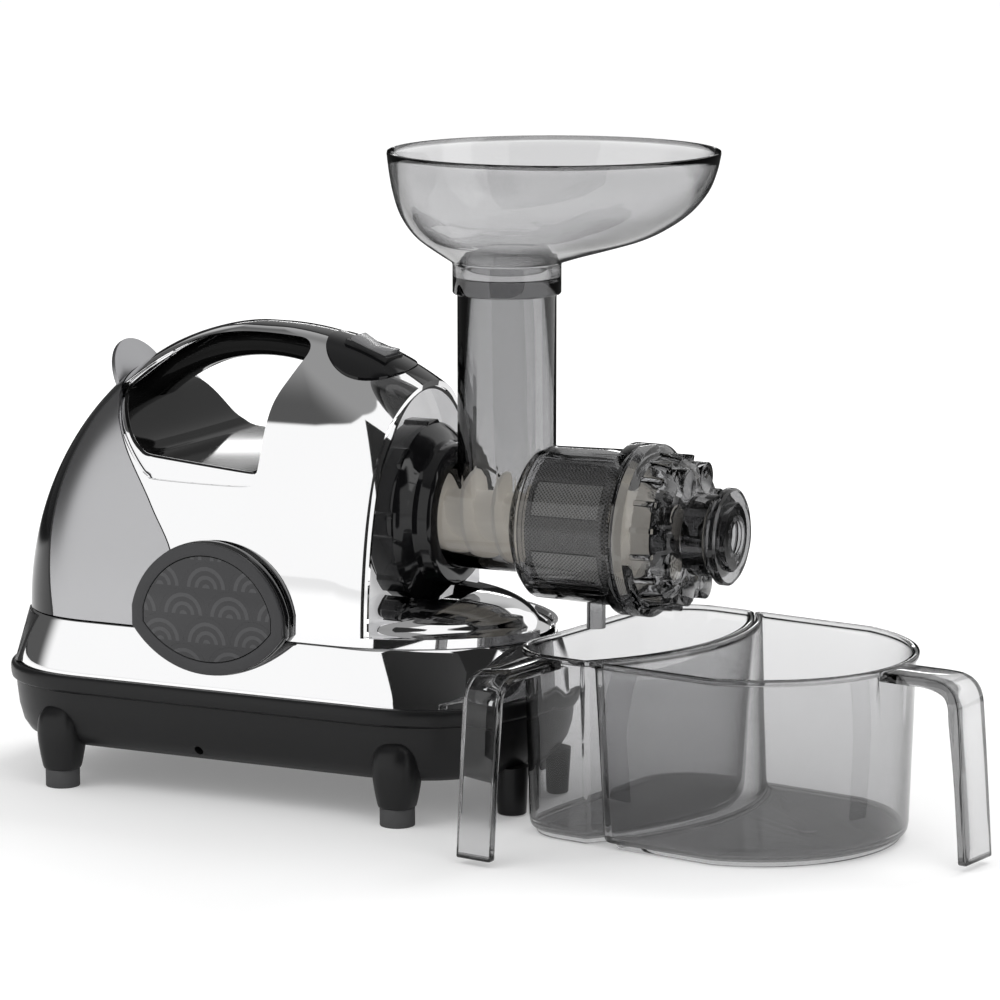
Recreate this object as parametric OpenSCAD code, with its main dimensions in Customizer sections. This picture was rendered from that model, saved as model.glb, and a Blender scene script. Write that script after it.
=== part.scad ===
// Horizontal cold press juicer with its hopper and two nesting containers.
// Machine frame inside the modules: the feeding tube stands on X = 0, Y = 0, the worktop is Z = 0,
// +X runs from the motor housing to the pulp outlet. in_frame() moves it all so that the origin is
// the centre of the whole set's outline on the worktop.

/* [Body] */
// Distance from the feeding tube back to the rear end of the base tray
tray_rear = 274; // [250:1:330]
// Distance from the feeding tube forward to the front end of the base tray
tray_front = 28; // [24:1:34]
// Half the width of the base tray
tray_half_w = 81; // [76:1:98]
// Underside of the base tray above the worktop
tray_bottom = 21; // [18:1:26]
// Rim of the base tray above the worktop
tray_top = 61; // [57:1:64]
// Half the width of the chromed housing at its foot
dome_half_w = 69.5; // [58:0.5:84]
// Height of the domed housing above its foot
dome_h = 152.3; // [150:0.1:183]
// Height of the housing's foot, where it meets the skirt
seam_z = 88; // [86:1:92]
// Wall of the housing shells, the skirt and the tray
shell_wall = 2.5; // [2:0.1:3]
// Half the width of the black strip on the handle
spine_half_w = 9; // [7:0.5:10.8]

/* [Drive] */
// Height of the pressing drum's axis above the worktop
drum_z = 147.2; // [144:0.1:177]
// Height of the motor's axis above the worktop
motor_z = 92; // [90:0.5:94]
// Radius of the motor can
motor_r = 38; // [32:0.5:42]
// Teeth of the motor pinion
pinion_teeth = 12; // [12:1:14]
// Teeth of the idler wheel
wheel_teeth = 48; // [46:1:50]
// Gear module of the first stage
module_1 = 1; // [0.95:0.01:1.05]
// Teeth of the idler pinion
idler_teeth = 12; // [12:1:14]
// Teeth of the output gear
output_teeth = 44; // [40:1:46]
// Gear module of the second stage
module_2 = 1.25; // [1.2:0.01:1.3]
// Radius of the output shaft
shaft_r = 7; // [6:0.1:8.4]

/* [Pressing drum] */
// Outside radius of the drum
drum_r = 38.5; // [36:0.5:42]
// Outside radius of the drum's neck
neck_r = 27; // [26.4:0.1:29]
// Wall of the drum
drum_wall = 2.6; // [2.2:0.1:3.1]
// Outside radius of the feeding tube
tube_r = 25; // [24:0.1:25.8]
// Wall of the feeding tube
tube_wall = 2.5; // [2:0.1:3]
// Outside radius of the lock ring's grip
lock_r = 47; // [46:0.5:50]
// Outside radius of the pulp nozzle's flange
nozzle_flange_r = 24.3; // [21:0.1:29]
// Outside radius of the pulp nozzle's neck
nozzle_r = 17.3; // [15:0.1:18]
// Radial clearance of the turning fits
running = 0.06; // [0.02:0.01:0.1]

/* [Hopper] */
// Height of the hopper rim above the worktop
hopper_top = 335; // [320:1:402]
// Radius of the hopper rim
hopper_r = 83.5; // [68:1:97]
// Distance that the rim's centre lies ahead of the feeding tube
hopper_offset = 26; // [20:0.5:29]
// Wall of the hopper
hopper_wall = 2.2; // [2:0.1:2.6]

/* [Containers] */
// Height of both containers
container_h = 93.6; // [78:0.1:94]
// Wall of both containers
container_wall = 2.2; // [1.8:0.1:2.7]
// Half the width of both containers
container_half_w = 77; // [70:1:80]
// Radius of the pulp container's round end
pulp_r = 79.5; // [72:0.5:88]
// Angle that the pair of containers is turned about the worktop's normal
container_turn = -9; // [-11:1:-7]
// Distance that the containers' walls lean inwards from rim to floor
draft = 3; // [1:0.5:4]
// Width of the juice container's handle
juice_handle_w = 20; // [18:1:26]
// Width of the pulp container's handle
pulp_handle_w = 26; // [22:1:31]

/* [Hidden] */

$fn = 64;
EPS = 0.02;
GAP = 0.3;

// Plan of the housing: two superellipse ends on straight sides, as points round the outline.
dome_x = -133;
dome_rear = 133;
dome_front = 162;
rear_round = 60;
front_round = 92;
nose_setback = 5;
PLAN_STEPS = 9;
BANDS = 10;

function signed_power(v, p) = sign(v) * pow(abs(v), p);
function end_point(t, x, reach, w, n, side) =
    [x + side * reach * signed_power(cos(t), 2 / n), side * w * signed_power(sin(t), 2 / n)];
function plan(rear, front, w, rr, fr, nr, nf) = concat(
    [for (i = [-PLAN_STEPS : PLAN_STEPS]) end_point(90 * i / PLAN_STEPS, front - fr, fr, w, nf, 1)],
    [for (i = [-PLAN_STEPS : PLAN_STEPS]) end_point(90 * i / PLAN_STEPS, rear + rr, rr, w, nr, -1)]);

// Plan of the housing's foot, drawn in by inset, about the dome's own axis. Its front end is
// fuller higher up, where full is 1.
function dome_plan(inset, full = 0) = let (back = nose_setback * (1 - full)) plan(-dome_rear + inset,
    dome_front - back - inset, dome_half_w - inset, rear_round - inset, front_round - back - inset,
    2.3, 1.85 + 0.15 * full);
function tray_plan(inset) = plan(-tray_rear + inset, tray_front - inset, tray_half_w - inset,
    70 - inset, 74 - inset, 2.6, 2.4);

skirt_rear = dome_x - dome_rear;
skirt_front = dome_x + dome_front;
dome_top = seam_z + dome_h;

// Height of the housing's ridge above the worktop at a distance x from the feeding tube.
function ridge_z(x) = seam_z + dome_h * sqrt(max(0, 1 - pow((x - dome_x) / (x < dome_x ? dome_rear : dome_front), 2)));
// Share of the foot's plan that is left at height z.
function dome_share(z) = sqrt(max(0, 1 - pow((z - seam_z) / dome_h, 2)));

// Front of the machine.
front_edge = -48.5;
nose_edge = -42.5;
cowl_x = -62;
cowl_rim = seam_z + 5;

// Drum, all along its own axis.
seat_x = -64;
seat_face = -47.6;
seat_r = 40;
neck_flange_r = 36;
drum_shoulder = 22;
drum_end = 76;
drum_flange_r = 43.4;
lip_bore = neck_r + 0.6;
lock_front = -tube_r - 0.6;
cap_face = 105;
nozzle_face = 127;
nozzle_back = 119.4;
auger_r = neck_r - drum_wall - 1.4;
screw_r = drum_r - drum_wall - 5.4;
strainer_r = drum_r - drum_wall - 1.2;
strainer_wall = 1.6;
spout_x = 50;
spout_r = 4.8;

// Hopper.
collar_h = 18;
collar_r = tube_r + 2.4;
bowl_bottom = hopper_top - 57;
collar_bottom = bowl_bottom - collar_h + 2;
tube_top = bowl_bottom - 8;
spigot_r = tube_r - tube_wall - 0.5;
spigot_bottom = drum_z + neck_r + 12;

// Gear train: centre distances, and the idler's place beside the line from motor to drum.
pinion_pitch = pinion_teeth * module_1 / 2;
wheel_pitch = wheel_teeth * module_1 / 2;
idler_pitch = idler_teeth * module_2 / 2;
output_pitch = output_teeth * module_2 / 2;
stage_1 = pinion_pitch + wheel_pitch;
stage_2 = idler_pitch + output_pitch;
motor_drop = drum_z - motor_z;
idler_rise = (stage_1 * stage_1 - stage_2 * stage_2 + motor_drop * motor_drop) / (2 * motor_drop);
idler_y = sqrt(max(1, stage_1 * stage_1 - idler_rise * idler_rise));
idler_z = motor_z + idler_rise;
to_idler = atan2(idler_rise, idler_y);
to_output = atan2(drum_z - idler_z, -idler_y);
gearbox_front = -65;
gearbox_back = -90;
gear_1_x = -86;
gear_2_x = -77;
gear_face = 8;

// Motor, along its own axis.
can_back = -190;
can_front = -98;
can_wall = 1.8;
motor_shaft_r = 4;

// Switch, on a frame tilted with the ridge.
switch_x = -73.5;
switch_y = -4;
switch_tilt = atan(pow(dome_h / dome_front, 2) * (switch_x - dome_x) / (ridge_z(switch_x) - seam_z));
rocker_l = 22;
rocker_w = 15;

// Rear cover and its hinge.
hinge_x = skirt_rear + 4;
hinge_z = seam_z;
hinge_r = 3.4;
hinge_half = 26;
band_foot_w = 63;

// Feet.
foot_y = tray_half_w - 11;
foot_x = [-tray_rear + 51.3, -27];
pad_r = 8.9;
pad_h = 9.5;
leg_r = 10.5;

// Containers: their own frame has u along the pair and v across it.
pair_x = 62;
nest_gap = 3;
pair_y = 9;
nest_r = 127;
nest_u = 53;
juice_left = -23;
juice_corner = 30;
pulp_u = nest_u + 24.5;
rim_lip = 1.4;
handle_t = 5;
handle_lean = 6;
juice_reach = container_half_w + 61;
pulp_reach = pulp_u + pulp_r + 48;
juice_handle_u = 3;

// The set's outline, whose centre on the worktop is the origin.
far_x = pair_x + pulp_reach * cos(container_turn) - pulp_handle_w / 2 * sin(container_turn);
near_y = pair_y + (juice_handle_u + juice_handle_w / 2) * sin(container_turn)
    - juice_reach * cos(container_turn);
far_y = max(hopper_r, pair_y + (juice_left + juice_corner) * sin(container_turn)
    + (container_half_w - juice_corner) * cos(container_turn) + juice_corner + rim_lip);
frame_x = (far_x - tray_rear) / 2;
frame_y = (far_y + near_y) / 2;

module in_frame() {
    translate([-frame_x, -frame_y, 0]) children();
}

// Extrudes a side view, drawn as X and Z, across the machine.
module across(half) {
    rotate([90, 0, 0]) translate([0, 0, -half]) linear_extrude(2 * half) children();
}

// Turns a profile, drawn as radius and X, about an axis along X at height z.
module about_x(z = drum_z, y = 0) {
    translate([0, y, z]) rotate([0, 90, 0]) rotate_extrude() children();
}

module rod_x(r, x1, x2, z = drum_z, y = 0) {
    translate([x1, y, z]) rotate([0, 90, 0]) cylinder(r = r, h = x2 - x1);
}

module slice(points, z) {
    translate([0, 0, z]) linear_extrude(EPS) polygon(points);
}

// Solid dome, drawn in by inset on every side, in hulled bands.
module dome(inset) {
    for (i = [0 : BANDS - 1]) hull() {
        dome_ring(inset, 89 * i / BANDS);
        dome_ring(inset, 89 * (i + 1) / BANDS);
    }
}

module dome_ring(inset, angle) {
    translate([dome_x, 0, seam_z]) slice(dome_plan(inset, min(1, angle / 30)) * cos(angle), (dome_h - inset) * sin(angle));
}

module dome_shell(outer = 0) {
    difference() {
        dome(outer);
        translate([0, 0, -EPS]) dome(shell_wall);
    }
}

// Side view of the space behind the cover's front edge. grow moves that edge forward.
module cover_side(grow) {
    polygon([[-400, seam_z - 20], [-176 + grow, seam_z - 20], [-176 + grow, seam_z + 4], [-160 + grow, seam_z + 40.5],
        [-171.3 + grow, seam_z + 62.5], [-190 + grow, seam_z + 90], [-203 + grow, seam_z + 115],
        [-211 + grow, seam_z + 135], [-216 + grow, dome_top + 20], [-400, dome_top + 20]]);
}

// Side view of the hand opening under the handle.
module hand_side() {
    polygon([[-207, dome_top - 36], [-203, dome_top - 41], [-191.5, dome_top - 58.5], [-182, dome_top - 70],
        [-176, dome_top - 75], [-168, dome_top - 77], [-121, dome_top - 77], [-114.5, dome_top - 74],
        [-112, dome_top - 67], [-111.5, dome_top - 48], [-109.5, dome_top - 34], [-103, dome_top - 20],
        [-99.5, dome_top - 11], [-104, dome_top - 6], [-115, dome_top - 4.3], [-139.4, dome_top - 3.8],
        [-155.5, dome_top - 5.4], [-168, dome_top - 9], [-182, dome_top - 16.5], [-196, dome_top - 26]]);
}

// Side view below the handle grip's underside.
module under_grip_side(drop) {
    polygon(concat([[-260, seam_z], [-60, seam_z]],
        [for (a = [0 : 6 : 180]) [dome_x + 3 + (dome_rear - drop) * cos(a),
            seam_z + (dome_h - drop) * sin(a)]]));
}

// The recess ahead of the housing: everything forward of the front edge and above the deck's rim.
module throat(back = 0) {
    across(120) polygon([[front_edge - back, cowl_rim], [front_edge - back, seam_z + 90],
        [nose_edge - back, dome_top - 25], [nose_edge - back, dome_top + 30], [80, dome_top + 30], [80, cowl_rim]]);
}

module switch_frame() {
    translate([switch_x, switch_y, ridge_z(switch_x)]) rotate([0, switch_tilt, 0]) children();
}

module bezel_hole(grow) {
    translate([switch_x - 1, switch_y, seam_z + 90]) linear_extrude(100)
        polygon([for (a = [0 : 10 : 350]) [(22 + grow) * cos(a), (27 + grow) * sin(a)]]);
}

// ---- Base ----

module foot_places() {
    for (x = foot_x, side = [-1, 1]) translate([x, side * foot_y, 0]) children();
}

skirt_inset = 4.2;
skirt_foot = tray_top - 7.5;

module tray_body() {
    levels = [[tray_bottom, 19], [tray_bottom + 1.2, 13], [tray_bottom + 4, 9], [tray_bottom + 9, 6],
        [tray_bottom + 17, 4], [tray_top - 9.5, 2.8], [tray_top - 9, 1.2], [tray_top - 6.5, 0.2],
        [tray_top - 3, 0], [tray_top - 0.6, 1.6]];
    for (i = [0 : len(levels) - 2]) hull() {
        slice(tray_plan(levels[i][1]), levels[i][0]);
        slice(tray_plan(levels[i + 1][1]), levels[i + 1][0]);
    }
}

module base_tray() {
    color([0.06, 0.06, 0.065]) in_frame() difference() {
        union() {
            difference() {
                tray_body();
                hull() {
                    slice(tray_plan(19 + shell_wall), tray_bottom + shell_wall);
                    slice(tray_plan(6 + shell_wall), tray_top - 12);
                }
                hull() {
                    slice(tray_plan(4.2 + shell_wall), tray_top - 12.1);
                    slice(tray_plan(4.2 + shell_wall), skirt_foot);
                }
                hull() {
                    slice(tray_plan(skirt_inset - GAP), skirt_foot - EPS);
                    slice(tray_plan(skirt_inset - GAP), tray_top + 1);
                }
            }
            foot_places() translate([0, 0, pad_h]) intersection() {
                cylinder(r1 = leg_r, r2 = leg_r + 3, h = tray_top - 18 - pad_h, $fn = 32);
                translate([-20, -20, 0]) cube([40, 40, tray_top - 18 - pad_h]);
            }
            for (side = [-1, 1]) translate([14.7, side * 24.4, 0.5])
                cylinder(r1 = 7.5, r2 = 8.5, h = tray_bottom + 4, $fn = 32);
            for (x = [-150, -60], side = [-1, 1]) translate([x, side * 44, tray_bottom + 1])
                cylinder(r = 5, h = tray_top - tray_bottom - 1.4, $fn = 24);
        }
        foot_places() {
            translate([0, 0, pad_h - 1]) cylinder(r = 5.2, h = 5, $fn = 32);
            cylinder(r = 2, h = pad_h + 16, $fn = 24);
        }
        for (x = [-150, -60], side = [-1, 1]) translate([x, side * 44, -1]) cylinder(r = 2, h = 80, $fn = 24);
        for (i = [0 : 8]) translate([-190 + 9 * i, -26, tray_bottom - 2]) cube([4, 52, 8]);
        translate([-140, -tray_half_w + 13, tray_bottom + 2]) rotate([90, 0, 0]) cylinder(r = 1.9, h = 30, $fn = 24);
        translate([-tray_rear - 10, 30, 41]) rotate([0, 90, 0]) cylinder(r = 7.3, h = 40, $fn = 40);
    }
}

module foot_pads() {
    color([0.2, 0.2, 0.21]) in_frame() foot_places() difference() {
        union() {
            cylinder(r = pad_r, h = pad_h);
            translate([0, 0, pad_h - EPS]) cylinder(r = 4.9, h = 3.8);
        }
        translate([0, 0, -1]) cylinder(r = 3.9, h = 6);
        cylinder(r = 2.1, h = 30);
    }
}

module foot_screws() {
    color([0.7, 0.7, 0.72]) in_frame() foot_places() translate([0, 0, 4.95]) union() {
        translate([0, 0, -2.4]) cylinder(r = 3.5, h = 2.4);
        cylinder(r = 1.8, h = 16);
    }
}

module skirt() {
    color([0.82, 0.83, 0.85]) in_frame() difference() {
        skirt_walls(0);
        translate([0, 0, -1]) skirt_walls(shell_wall);
        translate([-450, -450, seam_z - 0.3]) cube([900, 900, 10]);
        translate([hinge_x - 10, -hinge_half - 8, seam_z - 8]) cube([20, 2 * hinge_half + 16, 16]);
    }
}

// Skirt outline from the tray's rim to the housing's foot, in hulled bands.
module skirt_walls(inset) {
    steps = 4;
    low = tray_plan(skirt_inset + inset);
    high = [for (p = dome_plan(inset)) p + [dome_x, 0]];
    z_low = tray_top;
    z_high = seam_z + (inset > 0 ? 2 : 0);
    hull() {
        slice(low, skirt_foot + 0.1);
        slice(low, z_low);
    }
    for (i = [0 : steps - 1]) hull() {
        slice(blend(low, high, i / steps), z_low + (z_high - z_low) * rise(i / steps));
        slice(blend(low, high, (i + 1) / steps), z_low + (z_high - z_low) * rise((i + 1) / steps));
    }
}

function rise(t) = pow(t, 0.8);
function blend(a, b, t) = [for (i = [0 : len(a) - 1]) a[i] * (1 - t) + b[i] * t];

// Ribbed black guard round the back of the skirt, with a gap for the cover's hinge.
guard_half_w = 60;
module rear_guard() {
    color([0.04, 0.04, 0.045]) in_frame() difference() {
        intersection() {
            hull() {
                slice(tray_plan(2.2), tray_top + 0.05);
                slice(blend(tray_plan(4), [for (p = dome_plan(-1.6)) p + [dome_x, 0]], 0.6), tray_top + 12);
                slice([for (p = dome_plan(-1.6)) p + [dome_x, 0]], seam_z - 1.4);
            }
            translate([-400, -guard_half_w, tray_top]) cube([400 - tray_rear + 58, 2 * guard_half_w, 40]);
        }
        skirt_walls(-0.05);
        for (i = [-14 : 14]) translate([-tray_rear - 10, 4 * i - 0.7, tray_top + 3]) cube([30, 1.4, 40]);
        translate([-400, -hinge_half - 8, seam_z - 6]) cube([200, 2 * hinge_half + 16, 40]);
    }
}

// ---- Housing ----

module housing_half(side) {
    difference() {
        intersection() {
            dome_shell();
            translate([-500, side > 0 ? 0 : -500, seam_z + 0.25]) cube([1000, 500, 400]);
        }
        translate([-500, -spine_half_w - 0.15, seam_z + 60]) cube([500 + front_edge + 200, 2 * spine_half_w + 0.3, 200]);
        across(120) cover_side(0.25);
        across(120) hand_side();
        throat();
        bezel_hole(GAP);
    }
}

module housing_left() {
    color([0.85, 0.86, 0.88]) in_frame() housing_half(-1);
}

module housing_right() {
    color([0.85, 0.86, 0.88]) in_frame() housing_half(1);
}

module spine_strip() {
    color([0.03, 0.03, 0.035]) in_frame() difference() {
        intersection() {
            difference() {
                dome(-0.4);
                translate([0, 0, -EPS]) dome(shell_wall);
            }
            translate([-500, -spine_half_w, seam_z + 60.5]) cube([1000, 2 * spine_half_w, 200]);
        }
        across(120) cover_side(0.25);
        throat();
        bezel_hole(GAP);
    }
}

grip_drop = 17;

module handle_grip() {
    color([0.04, 0.04, 0.045]) in_frame() difference() {
        intersection() {
            dome(shell_wall + 0.15);
            translate([-208, -14.5, seam_z + 60]) cube([109, 29, 200]);
        }
        across(120) under_grip_side(grip_drop);
        across(120) cover_side(0.6);
        bezel_hole(1);
    }
}

module hand_well() {
    color([0.05, 0.05, 0.055]) in_frame() difference() {
        intersection() {
            dome(shell_wall + GAP);
            across(100) offset(delta = shell_wall) hand_side();
            across(120) under_grip_side(grip_drop + GAP);
        }
        across(120) hand_side();
        across(120) cover_side(0.6);
    }
}

module front_cowl() {
    color([0.8, 0.81, 0.83]) in_frame() difference() {
        union() {
            difference() {
                intersection() {
                    dome(shell_wall + GAP);
                    translate([cowl_x, -200, seam_z + 2]) cube([-cowl_x + front_edge + 3.5, 400, 300]);
                }
                translate([2.4, 0, 0]) intersection() {
                    dome(shell_wall + GAP + 2);
                    translate([cowl_x, -200, seam_z + 4.4]) cube([200, 400, 300]);
                }
                throat(-2);
            }
            deck(0);
        }
        translate([0, 0, -2]) deck(1);
        rod_x(seat_r + 1.5, -80, 0);
        rod_x(lock_r + 1.2, cowl_x + 2.1, -18);
    }
}

// The low bulge ahead of the housing, under the drum.
module deck(under) {
    levels = [[seam_z + 2, 0], [seam_z + 5.5, 6], [seam_z + 11, 11], [seam_z + 16, 20],
        [seam_z + 18.8, 32], [seam_z + 20, 44]];
    intersection() {
        for (i = [0 : len(levels) - 2]) hull() {
            deck_ring(levels[i], under);
            deck_ring(levels[i + 1], under);
        }
        translate([cowl_x + (under > 0 ? -5 : 0), -200, 0]) cube([300, 400, 400]);
    }
}

module deck_ring(level, under) {
    slice([for (p = dome_plan(shell_wall + GAP + level[1] + 2 * under)) p + [dome_x, 0]], level[0]);
}

module bulkhead() {
    color([0.1, 0.1, 0.1]) in_frame() difference() {
        intersection() {
            dome(shell_wall + 4.5);
            translate([-199, -200, seam_z + 0.5]) cube([3, 400, 200]);
        }
        across(100) offset(delta = shell_wall + 0.3) hand_side();
    }
}

// Outline of the side badges: a steep arch over a flatter one, meeting in two rounded points.
badge_x = -132;
badge_half_w = 46.7;
badge_rise = 45;
badge_drop = 26;
badge_z = 92;
function arc_r(rise) = (badge_half_w * badge_half_w + rise * rise) / (2 * rise);

module badge_outline(inset) {
    intersection() {
        translate([badge_x, badge_z + badge_rise - arc_r(badge_rise)]) circle(r = arc_r(badge_rise) - inset);
        translate([badge_x, badge_z - badge_drop + arc_r(badge_drop)]) circle(r = arc_r(badge_drop) - inset);
        translate([badge_x, badge_z]) square([2 * badge_half_w - 2 - 2 * inset, 200], center = true);
    }
}

module badge_side(y1, y2, inset) {
    for (side = [-1, 1]) mirror([0, side > 0 ? 1 : 0, 0]) translate([0, y1, 0])
        rotate([90, 0, 0]) linear_extrude(y1 - y2) badge_outline(inset);
}

badge_back = -dome_half_w - 0.3;
badge_front = -dome_half_w - 7.5;

module badge_frames() {
    color([0.16, 0.16, 0.17]) in_frame() difference() {
        badge_side(badge_back, badge_front, 0);
        badge_side(badge_front + 1.6, badge_front - 1, 7);
        skirt_walls(-0.1);
    }
}

module badge_plates() {
    color([0.1, 0.1, 0.11]) in_frame() badge_side(badge_front + 1.5, badge_front + 0.3, 7.3);
}

module switch_bezel() {
    color([0.05, 0.05, 0.055]) in_frame() difference() {
        intersection() {
            difference() {
                dome(-0.9);
                dome(shell_wall);
            }
            bezel_hole(0);
        }
        throat(3);
        switch_frame() cube([rocker_l + 3.4, rocker_w + 3.4, 40], center = true);
    }
}

module switch_body() {
    color([0.08, 0.08, 0.08]) in_frame() switch_frame() difference() {
        union() {
            translate([-(rocker_l + 3) / 2, -(rocker_w + 3) / 2, -19]) cube([rocker_l + 3, rocker_w + 3, 20.6]);
            for (i = [-1, 1]) translate([7 * i - 0.4, -3, -26]) cube([0.8, 6, 8]);
        }
        translate([-(rocker_l + 0.8) / 2, -(rocker_w + 0.6) / 2, -9]) cube([rocker_l + 0.8, rocker_w + 0.6, 30]);
        translate([0, 0, -3]) rotate([90, 0, 0]) cylinder(r = 1.5 + running, h = 40, center = true);
    }
}

module power_rocker() {
    color([0.12, 0.12, 0.13]) in_frame() switch_frame() translate([0, 0, -3]) union() {
        rotate([90, 0, 0]) linear_extrude(rocker_w, center = true)
            polygon([[-10.6, -0.5], [-5, -2.6], [5, -2.6], [10.6, -0.5], [10.6, 6.8], [0, 4.8], [-10.6, 6.8]]);
        rotate([90, 0, 0]) cylinder(r = 1.5, h = rocker_w + 2.6, center = true);
    }
}

// ---- Motor ----

module motor_can() {
    color([0.55, 0.56, 0.58]) in_frame() difference() {
        rod_x(motor_r, can_back, can_front, motor_z);
        rod_x(motor_r - can_wall, can_back - 1, can_front + 1, motor_z);
        for (a = [0 : 45 : 315], x = [can_back + 10, can_front - 10]) translate([x, 0, motor_z])
            rotate([a + 22.5, 0, 0]) cylinder(r = 3, h = motor_r + 5);
    }
}

bracket_foot = tray_bottom + shell_wall + 0.05;
module motor_brackets() {
    color([0.6, 0.6, 0.62]) in_frame() {
        for (x = [can_back - 5, can_front]) difference() {
            union() {
                rod_x(motor_r, x, x + 5, motor_z);
                translate([x, -motor_r, bracket_foot]) cube([5, 2 * motor_r, motor_z - bracket_foot]);
            }
            rod_x(11.05, x - 1, x + 6, motor_z);
            for (side = [-1, 1]) translate([x - 1, side * 20 - 8, bracket_foot + 6]) cube([7, 16, 18]);
        }
    }
}

module motor_bearings() {
    color([0.75, 0.75, 0.78]) in_frame() for (x = [can_back - 5, can_front]) difference() {
        rod_x(11, x, x + 5, motor_z);
        rod_x(motor_shaft_r + running, x - 1, x + 6, motor_z);
    }
}

module stator_core() {
    color([0.35, 0.36, 0.38]) in_frame() difference() {
        rod_x(motor_r - can_wall - 0.05, -165, -125, motor_z);
        rod_x(20, -166, -124, motor_z);
        for (a = [0 : 60 : 300]) translate([-166, 0, motor_z]) rotate([a, 0, 0])
            translate([0, -5, 17]) cube([42, 10, 11]);
    }
}

module stator_windings() {
    color([0.72, 0.4, 0.18]) in_frame() for (x = [-173, -124.6]) difference() {
        rod_x(31, x, x + 7.6, motor_z);
        rod_x(21, x - 1, x + 9, motor_z);
    }
}

module motor_shaft() {
    color([0.75, 0.76, 0.78]) in_frame() rod_x(motor_shaft_r, can_back - 5.5, gear_1_x + gear_face + 0.4, motor_z);
}

module rotor_core() {
    color([0.45, 0.46, 0.48]) in_frame() difference() {
        union() {
            rod_x(19.3, -164, -126, motor_z);
            rod_x(17, -168, -122, motor_z);
        }
        rod_x(motor_shaft_r, -190, -100, motor_z);
    }
}

module cooling_fan() {
    color([0.85, 0.85, 0.83]) in_frame() difference() {
        union() {
            rod_x(7, can_back + 3, can_back + 13, motor_z);
            for (a = [0 : 45 : 315]) translate([can_back + 3, 0, motor_z]) rotate([a, 0, 0])
                translate([0, -0.7, 5]) cube([9.4, 1.4, motor_r - can_wall - 13]);
            rod_x(motor_r - can_wall - 6, can_back + 12, can_back + 13.2, motor_z);
        }
        rod_x(motor_shaft_r, can_back, can_back + 20, motor_z);
    }
}

// ---- Gearbox ----

// Spur gear in its own plane with a tooth centred on the angle phase.
module gear_2d(teeth, mod, phase) {
    pitch = teeth * mod / 2;
    step = 360 / teeth;
    polygon([for (i = [0 : teeth - 1], k = [[-0.27, -1.1], [-0.19, 0], [-0.09, 0.85], [0.09, 0.85], [0.19, 0], [0.27, -1.1]])
        let (a = phase + step * (i + k[0]), r = pitch + k[1] * mod) [r * cos(a), r * sin(a)]]);
}

// Stands a gear drawn in Y and Z on an axis along X.
module gear_at(y, z, x, teeth, mod, phase) {
    translate([x, y, z]) multmatrix([[0, 0, 1, 0], [1, 0, 0, 0], [0, 1, 0, 0], [0, 0, 0, 1]])
        linear_extrude(gear_face) gear_2d(teeth, mod, phase);
}

module motor_pinion() {
    color([0.7, 0.66, 0.5]) in_frame() difference() {
        gear_at(0, motor_z, gear_1_x, pinion_teeth, module_1, to_idler);
        rod_x(motor_shaft_r, gear_1_x - 1, gear_1_x + gear_face + 1, motor_z);
    }
}

module idler_gear() {
    color([0.8, 0.78, 0.7]) in_frame() union() {
        gear_at(idler_y, idler_z, gear_1_x, wheel_teeth, module_1, to_idler + 180 + 180 / wheel_teeth);
        gear_at(idler_y, idler_z, gear_2_x - 1.2, idler_teeth, module_2, to_output);
        rod_x(4, gearbox_back + 0.6, gearbox_front - 0.6, idler_z, idler_y);
    }
}

module output_gear() {
    color([0.8, 0.78, 0.7]) in_frame() difference() {
        gear_at(0, drum_z, gear_2_x, output_teeth, module_2, to_output + 180 + 180 / output_teeth);
        rod_x(shaft_r, gear_2_x - 1, gear_2_x + gear_face + 1);
    }
}

module drive_shaft() {
    color([0.75, 0.76, 0.78]) in_frame() union() {
        rod_x(shaft_r, gearbox_back + 0.6, seat_face + 0.4);
        translate([seat_face, 0, drum_z]) rotate([0, 90, 0]) cylinder(r = 5.8, h = 16, $fn = 6);
    }
}

module gearbox_2d(grow) {
    translate([drum_z, 0]) circle(r = output_pitch + 5 + grow);
    translate([idler_z, idler_y]) circle(r = wheel_pitch + 5 + grow);
    translate([motor_z, 0]) circle(r = 16 + grow);
}

module gearbox_solid(x1, x2, grow) {
    translate([x1, 0, 0]) multmatrix([[0, 0, 1, 0], [0, 1, 0, 0], [1, 0, 0, 0], [0, 0, 0, 1]])
        linear_extrude(x2 - x1) gearbox_2d(grow);
}

module gearbox_housing() {
    color([0.5, 0.51, 0.53]) in_frame() difference() {
        union() {
            gearbox_solid(gearbox_back + 3, gearbox_front, 0);
            gearbox_screw_places() rod_x(4, gearbox_back + 3, gearbox_front, 0);
        }
        gearbox_solid(gearbox_back + 2, gearbox_front - 3, -3);
        rod_x(shaft_r + 2.55, -100, 0);
        rod_x(6.55, gearbox_front - 3.4, gearbox_front + 1, idler_z, idler_y);
        gearbox_screw_places() rod_x(1.5, -100, gearbox_front - 2, 0);
    }
}

module gearbox_cover() {
    color([0.55, 0.56, 0.58]) in_frame() difference() {
        union() {
            gearbox_solid(gearbox_back, gearbox_back + 2.95, 0);
            gearbox_screw_places() rod_x(4, gearbox_back, gearbox_back + 2.95, 0);
        }
        rod_x(motor_shaft_r + 1, -100, 0, motor_z);
        rod_x(shaft_r + 2.55, -100, 0);
        rod_x(6.55, -100, 0, idler_z, idler_y);
        gearbox_screw_places() rod_x(1.7, -100, 0, 0);
    }
}

module gearbox_screw_places() {
    reach = output_pitch + 7;
    for (a = [35, 145]) translate([0, reach * cos(a), drum_z + reach * sin(a)]) children();
    translate([0, -output_pitch - 5, drum_z - 14]) children();
    translate([0, idler_y + wheel_pitch + 6, idler_z - 4]) children();
    translate([0, -12, motor_z - 14]) children();
}

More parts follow.
